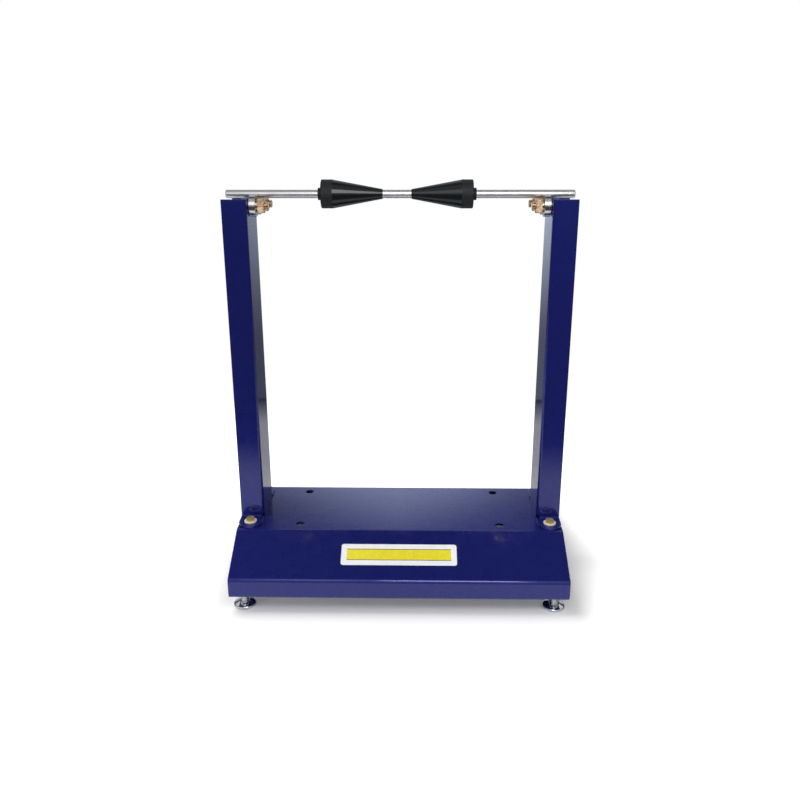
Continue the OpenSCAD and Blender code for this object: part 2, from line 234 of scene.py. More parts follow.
def soft_corners(outline, radius):
    """Closed outline with each corner P replaced by the curve (1-s)^2 A + 2s(1-s) P + s^2 B.

    A and B lie on the sides that meet at P, a radius away from it and at most a share of the side.
    """
    corner = np.asarray(outline, float)
    back = np.roll(corner, 1, axis=0) - corner
    ahead = np.roll(corner, -1, axis=0) - corner
    back_length = np.linalg.norm(back, axis=1, keepdims=True)
    ahead_length = np.linalg.norm(ahead, axis=1, keepdims=True)
    radius = np.broadcast_to(np.asarray(radius, float), len(corner))[:, None]
    before = corner + back / back_length * np.minimum(radius, back_length * CORNER_SHARE)
    after = corner + ahead / ahead_length * np.minimum(radius, ahead_length * CORNER_SHARE)
    s = np.linspace(0, 1, CORNER_STEPS)[None, :, None]
    curve = (1 - s) ** 2 * before[:, None] + 2 * s * (1 - s) * corner[:, None] + s**2 * after[:, None]
    return curve.reshape(-1, 2)


def revolve(radius, height, closed=True):
    """Points (r cos a, r sin a, h) for rows of radii and heights, which may differ round the turn."""
    columns = max(np.shape(radius)[1], np.shape(height)[1])
    steps = columns if columns > 1 else ROUND_STEPS
    angle = np.linspace(0, 2 * np.pi, steps, endpoint=False)
    points = np.stack(np.broadcast_arrays(radius * np.cos(angle), radius * np.sin(angle), height), -1)
    return points.reshape(-1, 3), grid_faces(len(radius), steps, closed, True)


def lathe(outline, closed=True):
    """An outline of (radius, height) points carried round the axis; an open one runs from pole to pole."""
    outline = np.asarray(outline, float)
    return revolve(outline[:, :1], outline[:, 1:], closed)


def ring(inner, outer, thickness, soft):
    """Washer: a rectangle with soft corners, carried round the axis."""
    return lathe(soft_corners([(inner, 0), (outer, 0), (outer, thickness), (inner, thickness)], soft))


def stand_at(part, place):
    """Move a part, unturned, to a place."""
    points, faces = part
    return points + np.asarray(place), faces


def hanging(part):
    """A part turned over, so that its height runs down."""
    points, faces = part
    return points * [1, -1, -1], faces


def lie_along_x(part, place, way):
    """Turn a part's own height to run along X, towards way, and move it to a place."""
    points, faces = part
    x, y, height = points.T
    return np.stack([way * height, y, -way * x], -1) + np.asarray(place), faces


print("a square with soft corners has", 4 * CORNER_STEPS, "points, and a turn has", ROUND_STEPS)

# %% [markdown]
# ## Shader tools
# Each finish is a small node graph round one Principled shader. Numbers that are the same all over go
# straight on the shader's sockets. What varies comes from noise on object coordinates, so a pattern keeps
# its real size on every piece: a noise scale of 500 gives grains of about two millimetres. Nodes could be
# placed by hand in the Shader Editor, but a few short methods make a graph read like a recipe.

# %% Node graphs
NOISE_LOW, NOISE_HIGH = 0.3, 0.7
# A Mix node has sockets for every kind of data; these are the numbers of those for colours.
MIX_SHARE, MIX_FIRST, MIX_SECOND, MIX_RESULT = 0, 6, 7, 2


class Graph:
    """A node tree, with short ways to add nodes and to feed their sockets."""

    def __init__(self, tree):
        """Keep the tree's nodes and links at hand."""
        self.nodes, self.links = tree.nodes, tree.links

    def add(self, kind, inputs=(), **settings):
        """New node with its settings; inputs are (socket, value or output) pairs."""
        node = self.nodes.new(kind)
        for setting, value in settings.items():
            setattr(node, setting, value)
        for socket, value in inputs:
            self.feed(node.inputs[socket], value)
        return node

    def feed(self, socket, value):
        """Link an output to a socket, or set the socket to a plain value."""
        if isinstance(value, bpy.types.NodeSocket):
            self.links.new(value, socket)
        else:
            socket.default_value = value

    def spread(self, value, low, high, start=NOISE_LOW, end=NOISE_HIGH, line="LINEAR"):
        """A value from start to end carried over to low and high, on a straight or a smooth line."""
        settings = [("Value", value), ("From Min", start), ("From Max", end)]
        settings += [("To Min", low), ("To Max", high)]
        return self.add("ShaderNodeMapRange", settings, interpolation_type=line).outputs[0]

    def maths(self, operation, *values):
        """One step of arithmetic."""
        return self.add("ShaderNodeMath", list(enumerate(values)), operation=operation).outputs[0]

    def vector(self, operation, *values):
        """One step of arithmetic on vectors; a length comes out as a number."""
        node = self.add("ShaderNodeVectorMath", list(enumerate(values)), operation=operation)
        return node.outputs["Value" if operation == "LENGTH" else "Vector"]

    def mix(self, share, first, second):
        """Second colour over the first by a share from 0 to 1."""
        settings = [(MIX_SHARE, share), (MIX_FIRST, first), (MIX_SECOND, second)]
        return self.add("ShaderNodeMix", settings, data_type="RGBA").outputs[MIX_RESULT]


class Finish(Graph):
    """A material with one Principled shader, whose constant sockets are given by name."""

    def __init__(self, name, **sockets):
        """New material; an underline in a socket's name stands for a space."""
        self.material = bpy.data.materials.new(name)
        self.material.use_nodes = True
        super().__init__(self.material.node_tree)
        self.shader = self.nodes["Principled BSDF"]
        for socket, value in sockets.items():
            self.shader.inputs[socket.replace("_", " ")].default_value = value
        self.place = self.add("ShaderNodeTexCoord").outputs["Object"]

    def noise(self, scale, detail=2.0, stretch=(1, 1, 1), roughness=0.5):
        """Noise on object coordinates, drawn out along an axis by a stretch below 1."""
        mapped = self.add("ShaderNodeMapping", [("Vector", self.place), ("Scale", stretch)])
        settings = [("Vector", mapped.outputs[0]), ("Scale", scale), ("Detail", detail)]
        return self.add("ShaderNodeTexNoise", settings + [("Roughness", roughness)]).outputs["Fac"]

    def tones(self, value, stops):
        """Colour ramp; stops are (position, colour) pairs."""
        ramp = self.add("ShaderNodeValToRGB", [("Fac", value)])
        marks = ramp.color_ramp.elements
        for position, _ in stops[2:]:
            marks.new(position)
        for mark, (position, colour) in zip(marks, stops):
            mark.position = position
            mark.color = (*colour, 1)
        return ramp.outputs["Color"]

    def between(self, value, first, second):
        """Colour that goes from a first to a second tone over the middle of a noise."""
        return self.tones(value, [(NOISE_LOW, first), (NOISE_HIGH, second)])

    def bump(self, value, depth):
        """Relief of a depth in metres on the shader's normal; calls add up."""
        normal = self.shader.inputs["Normal"]
        settings = [("Height", value), ("Distance", depth), ("Strength", 1.0)]
        if normal.is_linked:
            settings.append(("Normal", normal.links[0].from_socket))
        self.feed(normal, self.add("ShaderNodeBump", settings).outputs["Normal"])

    def give(self, socket, value):
        """Feed a socket of the shader."""
        self.feed(self.shader.inputs[socket], value)

    def colour(self, value):
        """Feed the shader's own colour."""
        self.give("Base Color", value)

    def rough(self, value):
        """Feed the shader's roughness."""
        self.give("Roughness", value)


def one_grain(name, noise, first, second, rough, relief=0.0, **sockets):
    """Material in which one noise gives two tones, the roughness and the relief, as one tool's work does."""
    finish = Finish(name, **sockets)
    grain = finish.noise(*noise)
    finish.colour(finish.between(grain, first, second))
    finish.rough(finish.spread(grain, *rough))
    if relief:
        finish.bump(grain, relief)
    return finish.material


print("the nodes are those of Blender", bpy.app.version_string)

# %% [markdown]
# ## Paint
# The sheets have a glossy navy powder coat: nearly a mirror, with the faint waviness called orange peel.
# One plain blue shader looks dull from every side, so the paint has two layers. The lower one is half
# metallic and rather rough, which gives the deep blue of the powder. The clear coat over it mirrors the
# room. Inside holes and on cut edges the powder lies thin, so they get a duller coat. Its colour is made
# far darker than the navy, which paints the shade that falls in the holes.

# %% Powder coat
def powder_coat():
    """Half metallic navy under a clear coat, both a little uneven, with waves of two sizes as relief."""
    finish = Finish("navy_powder_coat", Metallic=0.5, Coat_Weight=1.0, Coat_IOR=1.5, Specular_IOR_Level=0.0)
    cloud = finish.noise(9.0, 3.0)
    finish.colour(finish.between(cloud, (0.0115, 0.0165, 0.168), (0.0130, 0.0185, 0.182)))
    uneven = finish.noise(60.0, 4.0)
    finish.rough(finish.spread(uneven, 0.24, 0.32))
    finish.give("Coat Roughness", finish.spread(uneven, 0.06, 0.11))
    finish.bump(finish.noise(250.0, 2.0), 0.0000018)
    finish.bump(finish.noise(2600.0, 1.0), 0.0000003)
    return finish.material


COAT = powder_coat()
# Thin, dull coat for hole walls and cut edges; its near-black colour is painted shade in the holes.
HOLE_SHADE_COAT = one_grain(
    "thin_coat", (700.0, 3.0), (0.0030, 0.0038, 0.022), (0.0042, 0.0054, 0.030),
    (0.55, 0.70), 0.000006, Specular_IOR_Level=0.15,
)
print("the paints are", COAT.name, "and", HOLE_SHADE_COAT.name)

# %% [markdown]
# ## Yellow zinc
# The bolts and nuts are steel with yellow zinc, whose thin film shifts between gold, olive and copper
# from one spot to the next. A picture of plating could be wrapped round them, but a noise run through
# four colours needs no picture. The tab bolts are more olive, and the washers under them are pale and
# hardly metallic.

# %% Zinc plating
FILM_STOPS = (0.32, 0.46, 0.56, 0.68)
FILM_UNEVEN = 0.14
OLIVE, GOLD = (0.30, 0.30, 0.08), (0.58, 0.44, 0.20)
CREAM, COPPER = (0.90, 0.76, 0.54), (0.70, 0.42, 0.26)
PALE = (0.92, 0.88, 0.74)


def yellow_zinc(name, films, metallic, smooth):
    """Plating whose film changes between four colours every few millimetres, on a slightly grainy metal."""
    finish = Finish(name, Metallic=metallic)
    film = finish.noise(230.0, 2.0, roughness=0.6)
    finish.colour(finish.tones(film, list(zip(FILM_STOPS, films))))
    finish.rough(finish.spread(finish.noise(900.0, 3.0), smooth, smooth + FILM_UNEVEN))
    finish.bump(finish.noise(1500.0, 3.0), 0.000015)
    return finish.material


ZINC = yellow_zinc("yellow_zinc", (GOLD, COPPER, CREAM, COPPER), 0.9, 0.18)
OLIVE_ZINC = yellow_zinc("olive_zinc", (OLIVE, GOLD, OLIVE, CREAM), 0.6, 0.26)
PALE_ZINC = yellow_zinc("pale_zinc", (CREAM, PALE, CREAM, PALE), 0.3, 0.40)
print("the zinc films have", len(FILM_STOPS), "colours each")

# %% [markdown]
# ## Steel and bright plating
# The shaft is drawn bar with fine lines along its length, the bearing rings are ground round their axis,
# and the shields and cages are pressed from sheet, which leaves an even grain. Anisotropic shading could
# stretch the highlights, but a noise drawn out along one or two axes also shows the lines. The feet are
# plated bright, with a cloudy tone and a faint unevenness.

# %% Steel
ALONG_SHAFT = (0.02, 1, 1)
ROUND_SHAFT = (1, 0.02, 0.02)


def bright_plating():
    """Bright plating: clouds in the tone and the roughness, and a finer unevenness as relief."""
    finish = Finish("bright_plating", Metallic=1.0)
    cloud = finish.noise(160.0, 3.0)
    finish.colour(finish.between(cloud, (0.68, 0.70, 0.72), (0.78, 0.79, 0.80)))
    finish.rough(finish.spread(cloud, 0.07, 0.14))
    finish.bump(finish.noise(700.0, 2.0), 0.000008)
    return finish.material


DRAWN = one_grain(
    "drawn_steel", (1800.0, 3.0, ALONG_SHAFT), (0.72, 0.72, 0.73), (0.80, 0.80, 0.81),
    (0.36, 0.41), Metallic=1.0,
)
GROUND_STEEL = one_grain(
    "ground_steel", (1500.0, 3.0, ROUND_SHAFT), (0.60, 0.60, 0.61), (0.74, 0.74, 0.75),
    (0.16, 0.24), 0.000002, Metallic=1.0,
)
PRESSED = one_grain(
    "pressed_steel", (1100.0, 4.0), (0.44, 0.45, 0.46), (0.56, 0.57, 0.58),
    (0.28, 0.42), 0.000010, Metallic=1.0,
)
PLATED = bright_plating()
print("the steels are", DRAWN.name, GROUND_STEEL.name, PRESSED.name, "and", PLATED.name)

# %% [markdown]
# ## Black finishes
# The cones are black and satin. Their taper is turned smooth, and the band behind it is blasted and much
# duller. The set screws have black oxide, which lies between the two. All three are one recipe with short
# lines round the shaft, and differ only in roughness and relief.

# %% Black finishes
SHORT_LINES = (1, 0.15, 0.15)


def satin_black(name, rough, relief):
    """Nearly black, with short lines round the shaft in the tone, the roughness and the relief."""
    dark, less_dark = (0.0060, 0.0078, 0.0092), (0.0085, 0.0105, 0.0125)
    lines = (1400.0, 3.0, SHORT_LINES)
    return one_grain(name, lines, dark, less_dark, rough, relief, Specular_IOR_Level=0.4)


TURNED_BLACK = satin_black("turned_black", (0.13, 0.18), 0.0000012)
BLASTED_BLACK = satin_black("blasted_black", (0.55, 0.65), 0.000012)
BLACK_OXIDE = satin_black("black_oxide", (0.30, 0.42), 0.000012)
print("made", len(bpy.data.materials), "materials so far")

# %% [markdown]
# ## Bent sheets
# A sheet part is cut flat and then folded, and so it is here. The flat blank is a grid of points (across,
# along); a cell that holds a hole gets a circle and four faces between circle and corners. Then every
# point is folded by one formula: along the blank, straight stretches alternate with arcs, and the place
# of a point is where the stretch or arc puts it. Solidify gives the sheet its thickness, and Bevel the
# soft edges that paint leaves.

# %% Flat blanks and folds
HOLE_STEPS = 40
BEND_STEPS = 10
# Direction from the middle of a cell to the corner that its face starts with.
FIRST_CORNER = -0.75 * np.pi


def blank(across, along, holes=()):
    """Flat grid of (across, along) points, in which a circle and four faces stand for a cell with a hole.

    A hole is the column and row of its cell, its middle across and along, and its radius.
    """
    across, along = np.asarray(across, float), np.asarray(along, float)
    columns, rows = len(across), len(along)
    flat = np.stack(np.meshgrid(across, along), -1).reshape(-1, 2)
    quads = grid_faces(rows, columns)
    keep = np.ones(len(quads), bool)
    points, extra = [flat], []
    angle = np.linspace(0, 2 * np.pi, HOLE_STEPS, endpoint=False) + FIRST_CORNER
    quarter = HOLE_STEPS // 4
    for hole, (column, row, middle_across, middle_along, radius) in enumerate(holes):
        keep[row * (columns - 1) + column] = False
        circle = np.stack([np.cos(angle), np.sin(angle)], -1) * radius + [middle_across, middle_along]
        points.append(circle)
        first = len(flat) + hole * HOLE_STEPS
        corner = quads[row * (columns - 1) + column]
        for side in range(4):
            arc = [first + (side * quarter + k) % HOLE_STEPS for k in range(quarter + 1)]
            extra.append([corner[side], corner[(side + 1) % 4]] + arc[::-1])
    return np.concatenate(points), [quad for quad, kept in zip(quads, keep) if kept] + extra


def fold(length, flats, turns, radius):
    """Place (ahead, up) after a length along a folded line: flats and arcs by turns, the first flat ahead.

    A flat moves a point by its own length along the heading that it starts with. An arc turns the heading
    by length / radius, and moves the point by the radius times the change in the heading's sine and cosine.
    """
    length = np.asarray(length, float)
    ahead = np.zeros_like(length)
    up = np.zeros_like(length)
    done = 0.0
    steady = 0.0
    for flat, turn in zip(flats, list(turns) + [0.0]):
        part = np.clip(length - done, 0, flat)
        ahead += part * np.cos(steady)
        up += part * np.sin(steady)
        done += flat
        bend = np.clip(length - done, 0, radius * abs(turn)) / radius * np.sign(turn)
        curve = radius * np.sign(turn)
        ahead += curve * (np.sin(steady + bend) - np.sin(steady))
        up -= curve * (np.cos(steady + bend) - np.cos(steady))
        steady += turn
        done += radius * abs(turn)
    return ahead, up


def fold_marks(flats, turns, radius):
    """Lengths along a blank at which it needs points: the ends of each flat and steps along each arc."""
    marks = [0.0]
    for flat, turn in zip(flats, list(turns) + [0.0]):
        marks.append(marks[-1] + flat)
        if turn:
            arc = radius * abs(turn) * np.arange(1, BEND_STEPS + 1) / BEND_STEPS
            marks += list(marks[-1] + arc)
    return np.array(marks)


print("a bend has", BEND_STEPS, "steps and a hole has", HOLE_STEPS)

# %% [markdown]
# ## The base
# The base is one sheet: a flat top, a slope, a lip and a flange turned in under the lip, the same to the
# front and to the back. The blank is drawn once from the middle to the front edge and mirrored to the
# back. Its outer face is the made one, so every bend has the outer radius.

# %% Folds of the base
SLOPE_DROP = TOP - GROUND - LIP_HEIGHT
SLOPE_RUN = HALF_DEPTH - PLATE_DEPTH / 2
SLOPE_ANGLE = np.arctan2(SLOPE_DROP, SLOPE_RUN)
OUTER_BEND = BASE_BEND + SHEET


def setback(turn):
    """Length that a bend takes from each face at a corner: its radius times the tangent of half the turn."""
    return OUTER_BEND * np.tan(turn / 2)


base_turns = [-SLOPE_ANGLE, SLOPE_ANGLE - np.pi / 2, -np.pi / 2]
back = [setback(abs(turn)) for turn in base_turns]
base_flats = [
    PLATE_DEPTH / 2 - back[0],
    np.hypot(SLOPE_RUN, SLOPE_DROP) - back[0] - back[1],
    LIP_HEIGHT - back[1] - back[2],
    RETURN_WIDTH - back[2],
]
base_marks = fold_marks(base_flats, base_turns, OUTER_BEND)
base_length = base_marks[-1]
print("from its middle to its edge the blank is", round(base_length, 4), "long")

# %% [markdown]
# ## Holes in the base
# The top plate has four fixing holes and four holes for the bolts of the uprights, and the flanges have
# four holes for the feet. A Boolean could cut them out of the bent sheet. A workshop cuts them before it
# is bent, and so does this step: each hole gets a cell of the flat grid with lines a little outside it,
# and folding carries it to its place.

# %% Holes in the blank
MM_IN_M = 1000
HOLE_CELL = 0.009
TAB_HOLE, FOOT_HOLE = 0.0032, 0.0052
FLANGE = HALF_WIDTH - WEB_X
TAB_X = HALF_WIDTH - FLANGE / 2
TAB_Y = upright_high[1] - FLANGE / 2

plate_holes = mount["plate_holes"]["dims"]
hole_x = plate_holes["spacing_x_mm"] / 2 / MM_IN_M
hole_y = plate_holes["spacing_y_mm"] / 2 / MM_IN_M
hole_r = plate_holes["hole_r_mm"] / MM_IN_M
foot_place = {name: box_of(f"{name}_foot_stem") for name in CORNERS}
FOOT_X, FOOT_Y = abs(sum(foot_place["front_right"])[:2] / 2)
foot_length = base_length - (FOOT_Y - (HALF_DEPTH - RETURN_WIDTH))


def cell_lines(middles):
    """Grid lines on both sides of each hole's middle."""
    return [middle + step for middle in middles for step in (-HOLE_CELL, HOLE_CELL)]


hole_columns = cell_lines([hole_x, TAB_X])
base_across = np.sort(hole_columns + [-x for x in hole_columns] + [-HALF_WIDTH, HALF_WIDTH])
half_marks = np.sort(np.concatenate([base_marks[1:], cell_lines([hole_y, foot_length])]))
base_along = np.concatenate([-half_marks[::-1], half_marks])


def base_holes():
    """Cell and circle of each hole in the blank: fixing holes, tab bolts and foot stems, front and rear."""
    kinds = ((hole_x, hole_y, hole_r), (TAB_X, TAB_Y, TAB_HOLE), (FOOT_X, foot_length, FOOT_HOLE))
    found = []
    for side, way in CORNERS.values():
        for x, length, radius in kinds:
            column = np.searchsorted(base_across, side * x) - 1
            row = np.searchsorted(base_along, way * length) - 1
            found.append((column, row, side * x, way * length, radius))
    return found


print("the blank has", len(base_holes()), "holes")

# %% [markdown]
# ## The base sheet
# The blank is now folded from its middle to the front and to the back. The sheet gets its thickness below
# the painted face, and the walls of its holes and its cut edges get the thin coat, whose dark colour is
# painted shade.

# %% Base sheet
SOFT_EDGE = 0.0004


def base_sheet():
    """Blank folded both ways from the middle: length along gives depth and height, across stays X."""
    flat, faces = blank(base_across, base_along, base_holes())
    across, along = flat.T
    ahead, up = fold(np.abs(along), base_flats, base_turns, OUTER_BEND)
    return np.stack([across, np.sign(along) * ahead, TOP + up], -1), faces


make_piece("base_sheet_coated", base_sheet(), "frame", "base_sheet", COAT,
           thickness=SHEET, bevel=SOFT_EDGE, edges=HOLE_SHADE_COAT)

# %% [markdown]
# ## The uprights
# Each upright is a channel: a web on the wheel side and two flanges that face front and back. At the foot
# the flanges turn outwards into tabs with a round end, and the corners of the channel are cut away so
# that the sheet can bend. The shape is too odd for one grid, so four flat pieces share their edge points:
# the channel, the foot of the web, the bends and the tabs. Welding the points makes one sheet of them.

# %% Sizes of the uprights
HALF_UPRIGHT = UPRIGHT_DEPTH / 2
UPRIGHT_CORNER = UPRIGHT_BEND + SHEET
CHANNEL_START = TOP + UPRIGHT_CORNER + CORNER_RELIEF
BEND_END = HALF_UPRIGHT + UPRIGHT_BEND
SHAFT_R = 0.005
SHAFT_RELIEF = 0.0015
BEARING_Y = joint["rear_right_bearing_spin"]["pos_m"][1]
BEARING_Z = joint["front_right_bearing_spin"]["pos_m"][2]
BEARING_HOLE = 0.0052
BEARING_CELL = (0.0070, 0.0058)

web_half = HALF_UPRIGHT - UPRIGHT_CORNER
channel_flats = [web_half, FLANGE - UPRIGHT_CORNER]
channel_turns = [-np.pi / 2]
shaft_rise = SHAFT_Z - CROWN
hollow_r = SHAFT_R + SHAFT_RELIEF
hollow_half = np.sqrt(hollow_r**2 - shaft_rise**2)
print("the web is", round(2 * web_half, 4), "wide and its hollow for the shaft", round(2 * hollow_half, 4))

# %% [markdown]
# ## The channel
# The web and both flanges are one blank, folded about the two corners. Its top edge dips in a shallow
# hollow, so that the shaft clears it, and it has holes for the bearing bolts. The foot of the web is a
# strip of its own, because the corners beside it are cut away.

# %% Channel
HOLLOW_STEPS = 9
# The bearing bolts go through the second row of cells, counted from the foot.
BOLT_ROW = 1


def hollow_depth(across):
    """Depth of the shaft's round hollow below the crown: the circle's height less the shaft's rise."""
    return np.maximum(np.sqrt(np.maximum(hollow_r**2 - across**2, 0)) - shaft_rise, 0)


def both_ways(lengths):
    """Lengths from the middle out, to both sides of it."""
    lengths = np.unique(lengths)
    return np.unique(np.concatenate([-lengths, lengths]))


def channel():
    """Web and flanges: the length across is folded about the upright's corners, the length along is Z."""
    folds = fold_marks(channel_flats, channel_turns, UPRIGHT_CORNER)
    bolt_line = folds[-1] - FLANGE / 2
    hollow = hollow_half * np.sin(np.linspace(0, np.pi / 2, HOLLOW_STEPS))
    cells = [BEARING_Y - BEARING_CELL[0], BEARING_Y + BEARING_CELL[0]]
    columns = both_ways(np.concatenate([folds, hollow, cells, [bolt_line]]))
    rows = [CHANNEL_START, BEARING_Z - BEARING_CELL[1], BEARING_Z + BEARING_CELL[1], CROWN]
    holes = []
    for y in (-BEARING_Y, BEARING_Y):
        holes.append((np.searchsorted(columns, y) - 1, BOLT_ROW, y, BEARING_Z, BEARING_HOLE))
    flat, faces = blank(columns, rows, holes)
    across, along = flat.T
    along = along - np.where(along == CROWN, hollow_depth(across), 0)
    ahead, up = fold(np.abs(across), channel_flats, channel_turns, UPRIGHT_CORNER)
    part = np.stack([WEB_X - up, -np.sign(across) * ahead, along], -1), faces
    web = columns[np.abs(columns) <= web_half]
    across, along = np.meshgrid(web, [TOP, CHANNEL_START])
    foot = np.stack([0 * across + WEB_X, -across, along], -1).reshape(-1, 3)
    return join_parts([part, (foot, grid_faces(2, len(web)))])


print("the channel has", len(channel()[1]), "faces")

# %% [markdown]
# ## The tabs
# The bend from a flange to its tab is a small grid. The tab could be one too, but its round end fits a
# grid badly. So each half of it is one face with many corners: the straight edge, a quarter of the round
# end and half of the bolt hole. The left upright is the right one mirrored.

# %% Tabs and both uprights
TAB_END_STEPS, TAB_HOLE_STEPS = 17, 21


def tab_bend():
    """Flange at the rear going into its tab: an arc about a centre outside the bend, carried along X."""
    turn = np.linspace(0, np.pi / 2, BEND_STEPS)
    y = np.append(BEND_END - UPRIGHT_BEND * np.sin(turn), HALF_UPRIGHT)
    z = np.append(TOP + UPRIGHT_CORNER - UPRIGHT_BEND * np.cos(turn), CHANNEL_START)
    x = np.array([HALF_WIDTH, TAB_X, WEB_X + UPRIGHT_CORNER])
    points = np.stack(np.broadcast_arrays(x, y[:, None], z[:, None]), -1)
    return points.reshape(-1, 3), grid_faces(len(y), len(x))


def tab_half(side, edge):
    """Half of a tab: its straight edge, a quarter of the round end, and half of the bolt hole."""
    end = np.linspace(0, np.pi / 2, TAB_END_STEPS)
    hole = np.linspace(np.pi / 2, -np.pi / 2, TAB_HOLE_STEPS)
    round_end = np.stack([np.cos(end), np.sin(end)], -1) * FLANGE / 2
    bolt_hole = np.stack([np.cos(hole), np.sin(hole)], -1) * TAB_HOLE
    straight = np.stack([np.array(edge), np.full(len(edge), BEND_END - TAB_Y)], -1)
    outline = np.concatenate([straight, round_end, bolt_hole]) * [side, 1]
    points = np.column_stack([outline + [TAB_X, TAB_Y], np.full(len(outline), TOP + SHEET)])
    order = list(range(len(points)))
    return points, [order if side == RIGHT else order[::-1]]


def upright():
    """Right upright: channel, and the rear bend and tab with their mirror images at the front."""
    inner = FLANGE / 2 - UPRIGHT_CORNER
    rear = [tab_bend(), tab_half(RIGHT, [0, FLANGE / 2]), tab_half(LEFT, [0, inner, FLANGE / 2])]
    return join_parts([channel()] + rear + [mirrored(part, 1) for part in rear])


for name, part in (("right", upright()), ("left", mirrored(upright(), 0))):
    make_piece(f"{name}_upright_coated", part, "frame", f"{name}_upright", COAT,
               thickness=SHEET, bevel=SOFT_EDGE)

# %% [markdown]
# ## The label
# The stand carries a printed film on its front slope. Here it is plain: white film with a yellow panel
# between two thin dark rules. The film is a rounded rectangle, and the print is worked out from object
# coordinates that a Mapping node turns into the plane of the slope, so no picture is needed.

# %% Label film
LABEL_WIDTH = 0.145
LABEL_HEIGHT = 0.031
LABEL_CORNER = 0.003
LABEL_THICKNESS = 0.0003
LABEL_DROP = 0.022
PANEL_WIDTH, PANEL_HEIGHT = 0.131, 0.015
RULE_WIDTH = 0.0009
LABEL_STEPS = 9
label_middle = LABEL_DROP + LABEL_HEIGHT / 2


def label_film():
    """Rounded rectangle in the slope's plane: arcs about four centres, for a lower and an upper face."""
    turn = np.linspace(0, np.pi / 2, LABEL_STEPS) + np.pi / 2 * np.arange(4)[:, None]
    way = np.array([(1, 1), (-1, 1), (-1, -1), (1, -1)])[:, None, :]
    centre = way * np.array([LABEL_WIDTH / 2 - LABEL_CORNER, LABEL_HEIGHT / 2 - LABEL_CORNER])
    outline = (centre + LABEL_CORNER * np.stack([np.cos(turn), np.sin(turn)], -1)).reshape(-1, 2)
    down = np.array([0, -np.cos(SLOPE_ANGLE), -np.sin(SLOPE_ANGLE)])
    out = np.array([0, -np.sin(SLOPE_ANGLE), np.cos(SLOPE_ANGLE)])
    corner = np.array([0, -PLATE_DEPTH / 2, TOP])
    flat = corner + outline[:, :1] * [1, 0, 0] + (label_middle - outline[:, 1:]) * down
    count = len(flat)
    faces = grid_faces(2, count, close_columns=True) + [list(range(count)), list(range(count, 2 * count))]
    return np.concatenate([flat, flat + LABEL_THICKNESS * out]), faces


def printed_film():
    """White film; yellow where both distances from its middle are within the panel, dark in the rules."""
    finish = Finish("printed_film", IOR=1.46)
    middle = -PLATE_DEPTH / 2 * np.cos(SLOPE_ANGLE) + TOP * np.sin(SLOPE_ANGLE) - label_middle
    in_plane = finish.add("ShaderNodeMapping", [
        ("Vector", finish.place), ("Rotation", (-SLOPE_ANGLE, 0, 0)), ("Location", (0, -middle, 0)),
    ])
    split = finish.add("ShaderNodeSeparateXYZ", [("Vector", in_plane.outputs[0])])
    x = finish.maths("ABSOLUTE", split.outputs["X"])
    y = finish.maths("ABSOLUTE", split.outputs["Y"])
    wide = finish.maths("LESS_THAN", x, PANEL_WIDTH / 2)
    panel = finish.maths("MULTIPLY", wide, finish.maths("LESS_THAN", y, PANEL_HEIGHT / 2))
    ruled = finish.maths("MULTIPLY", wide, finish.maths("LESS_THAN", y, PANEL_HEIGHT / 2 + RULE_WIDTH))
    tint = finish.noise(40.0, 2.0)
    white = finish.between(tint, (0.80, 0.81, 0.82), (0.86, 0.86, 0.86))
    yellow = finish.between(tint, (0.74, 0.64, 0.030), (0.80, 0.70, 0.045))
    dark = finish.between(tint, (0.020, 0.024, 0.050), (0.026, 0.030, 0.060))
    finish.colour(finish.mix(panel, finish.mix(ruled, white, dark), yellow))
    finish.rough(finish.spread(finish.noise(300.0, 2.0), 0.22, 0.30))
    finish.bump(finish.noise(800.0, 2.0), 0.000004)
    return finish.material


make_piece("front_label_film", label_film(), "frame", "front_label", printed_film())

# %% [markdown]
# ## Screw threads and hexagons
# A thread could be a bump in the shader, but its crests show against the light, so it is a shape here: a
# rod whose radius falls and rises with the phase height / pitch - angle / full turn, so one formula over
# a grid of angles and heights winds the whole helix. A hexagon is a turned shape whose radius depends on
# the angle: the distance to the nearest flat, with the corners rounded a little by a power mean. The
# chamfer at its ends is a cone, and where cone and flats meet comes out as the curve seen on real nuts.

# %% Fastener shapes
HEX_STEPS = 144
THREAD_STEPS = 48
ROWS_PER_PITCH = 8
THREAD_DEPTH = 0.61
CORNER_POWER = 48
CHAMFER_SLOPE = np.tan(np.radians(30))
RIM_SHARE = 0.95
COUNTERSINK = 0.0004
# Shares of the way from the middle of a crest to the middle of a root that the crest and the flank take.
CREST, FLANK = 0.125, 0.625
# The plain part under a bolt's head and the chamfer at its end, in pitches.
PLAIN, END_CHAMFER = 2, 0.6


def hexagon_radius(flats):
    """Half the width across the flats over the power mean of the cosines to the six flats."""
    angle = np.linspace(0, 2 * np.pi, HEX_STEPS, endpoint=False)
    facing = np.cos(angle - np.pi / 3 * np.arange(6)[:, None])
    return flats / 2 / np.sum(np.maximum(facing, 0) ** CORNER_POWER, axis=0) ** (1 / CORNER_POWER)


def hexagon_rows(flats, height, low_cone):
    """Rows of radius and height of a hexagon's outside; its upper end is a cone, its lower one may be."""
    edge = hexagon_radius(flats)
    none = 0 * edge
    rim = RIM_SHARE * flats / 2 + none
    cone = (edge - rim) * CHAMFER_SLOPE
    low = [(rim, none), (edge, cone)] if low_cone else [(edge, none)]
    high = [(edge, height - cone), (rim, height + none)]
    return np.array(low + high)


def nut(flats, height, bore):
    """Hexagon with both ends turned, and a bore with a countersink at each end."""
    rows = hexagon_rows(flats, height, True)
    wide = bore + COUNTERSINK
    hole = np.array([(wide, height), (bore, height - COUNTERSINK), (bore, COUNTERSINK), (wide, 0)])
    hole = hole[:, :, None] + np.zeros(HEX_STEPS)
    rows = np.concatenate([rows, hole])
    return revolve(rows[:, 0], rows[:, 1])


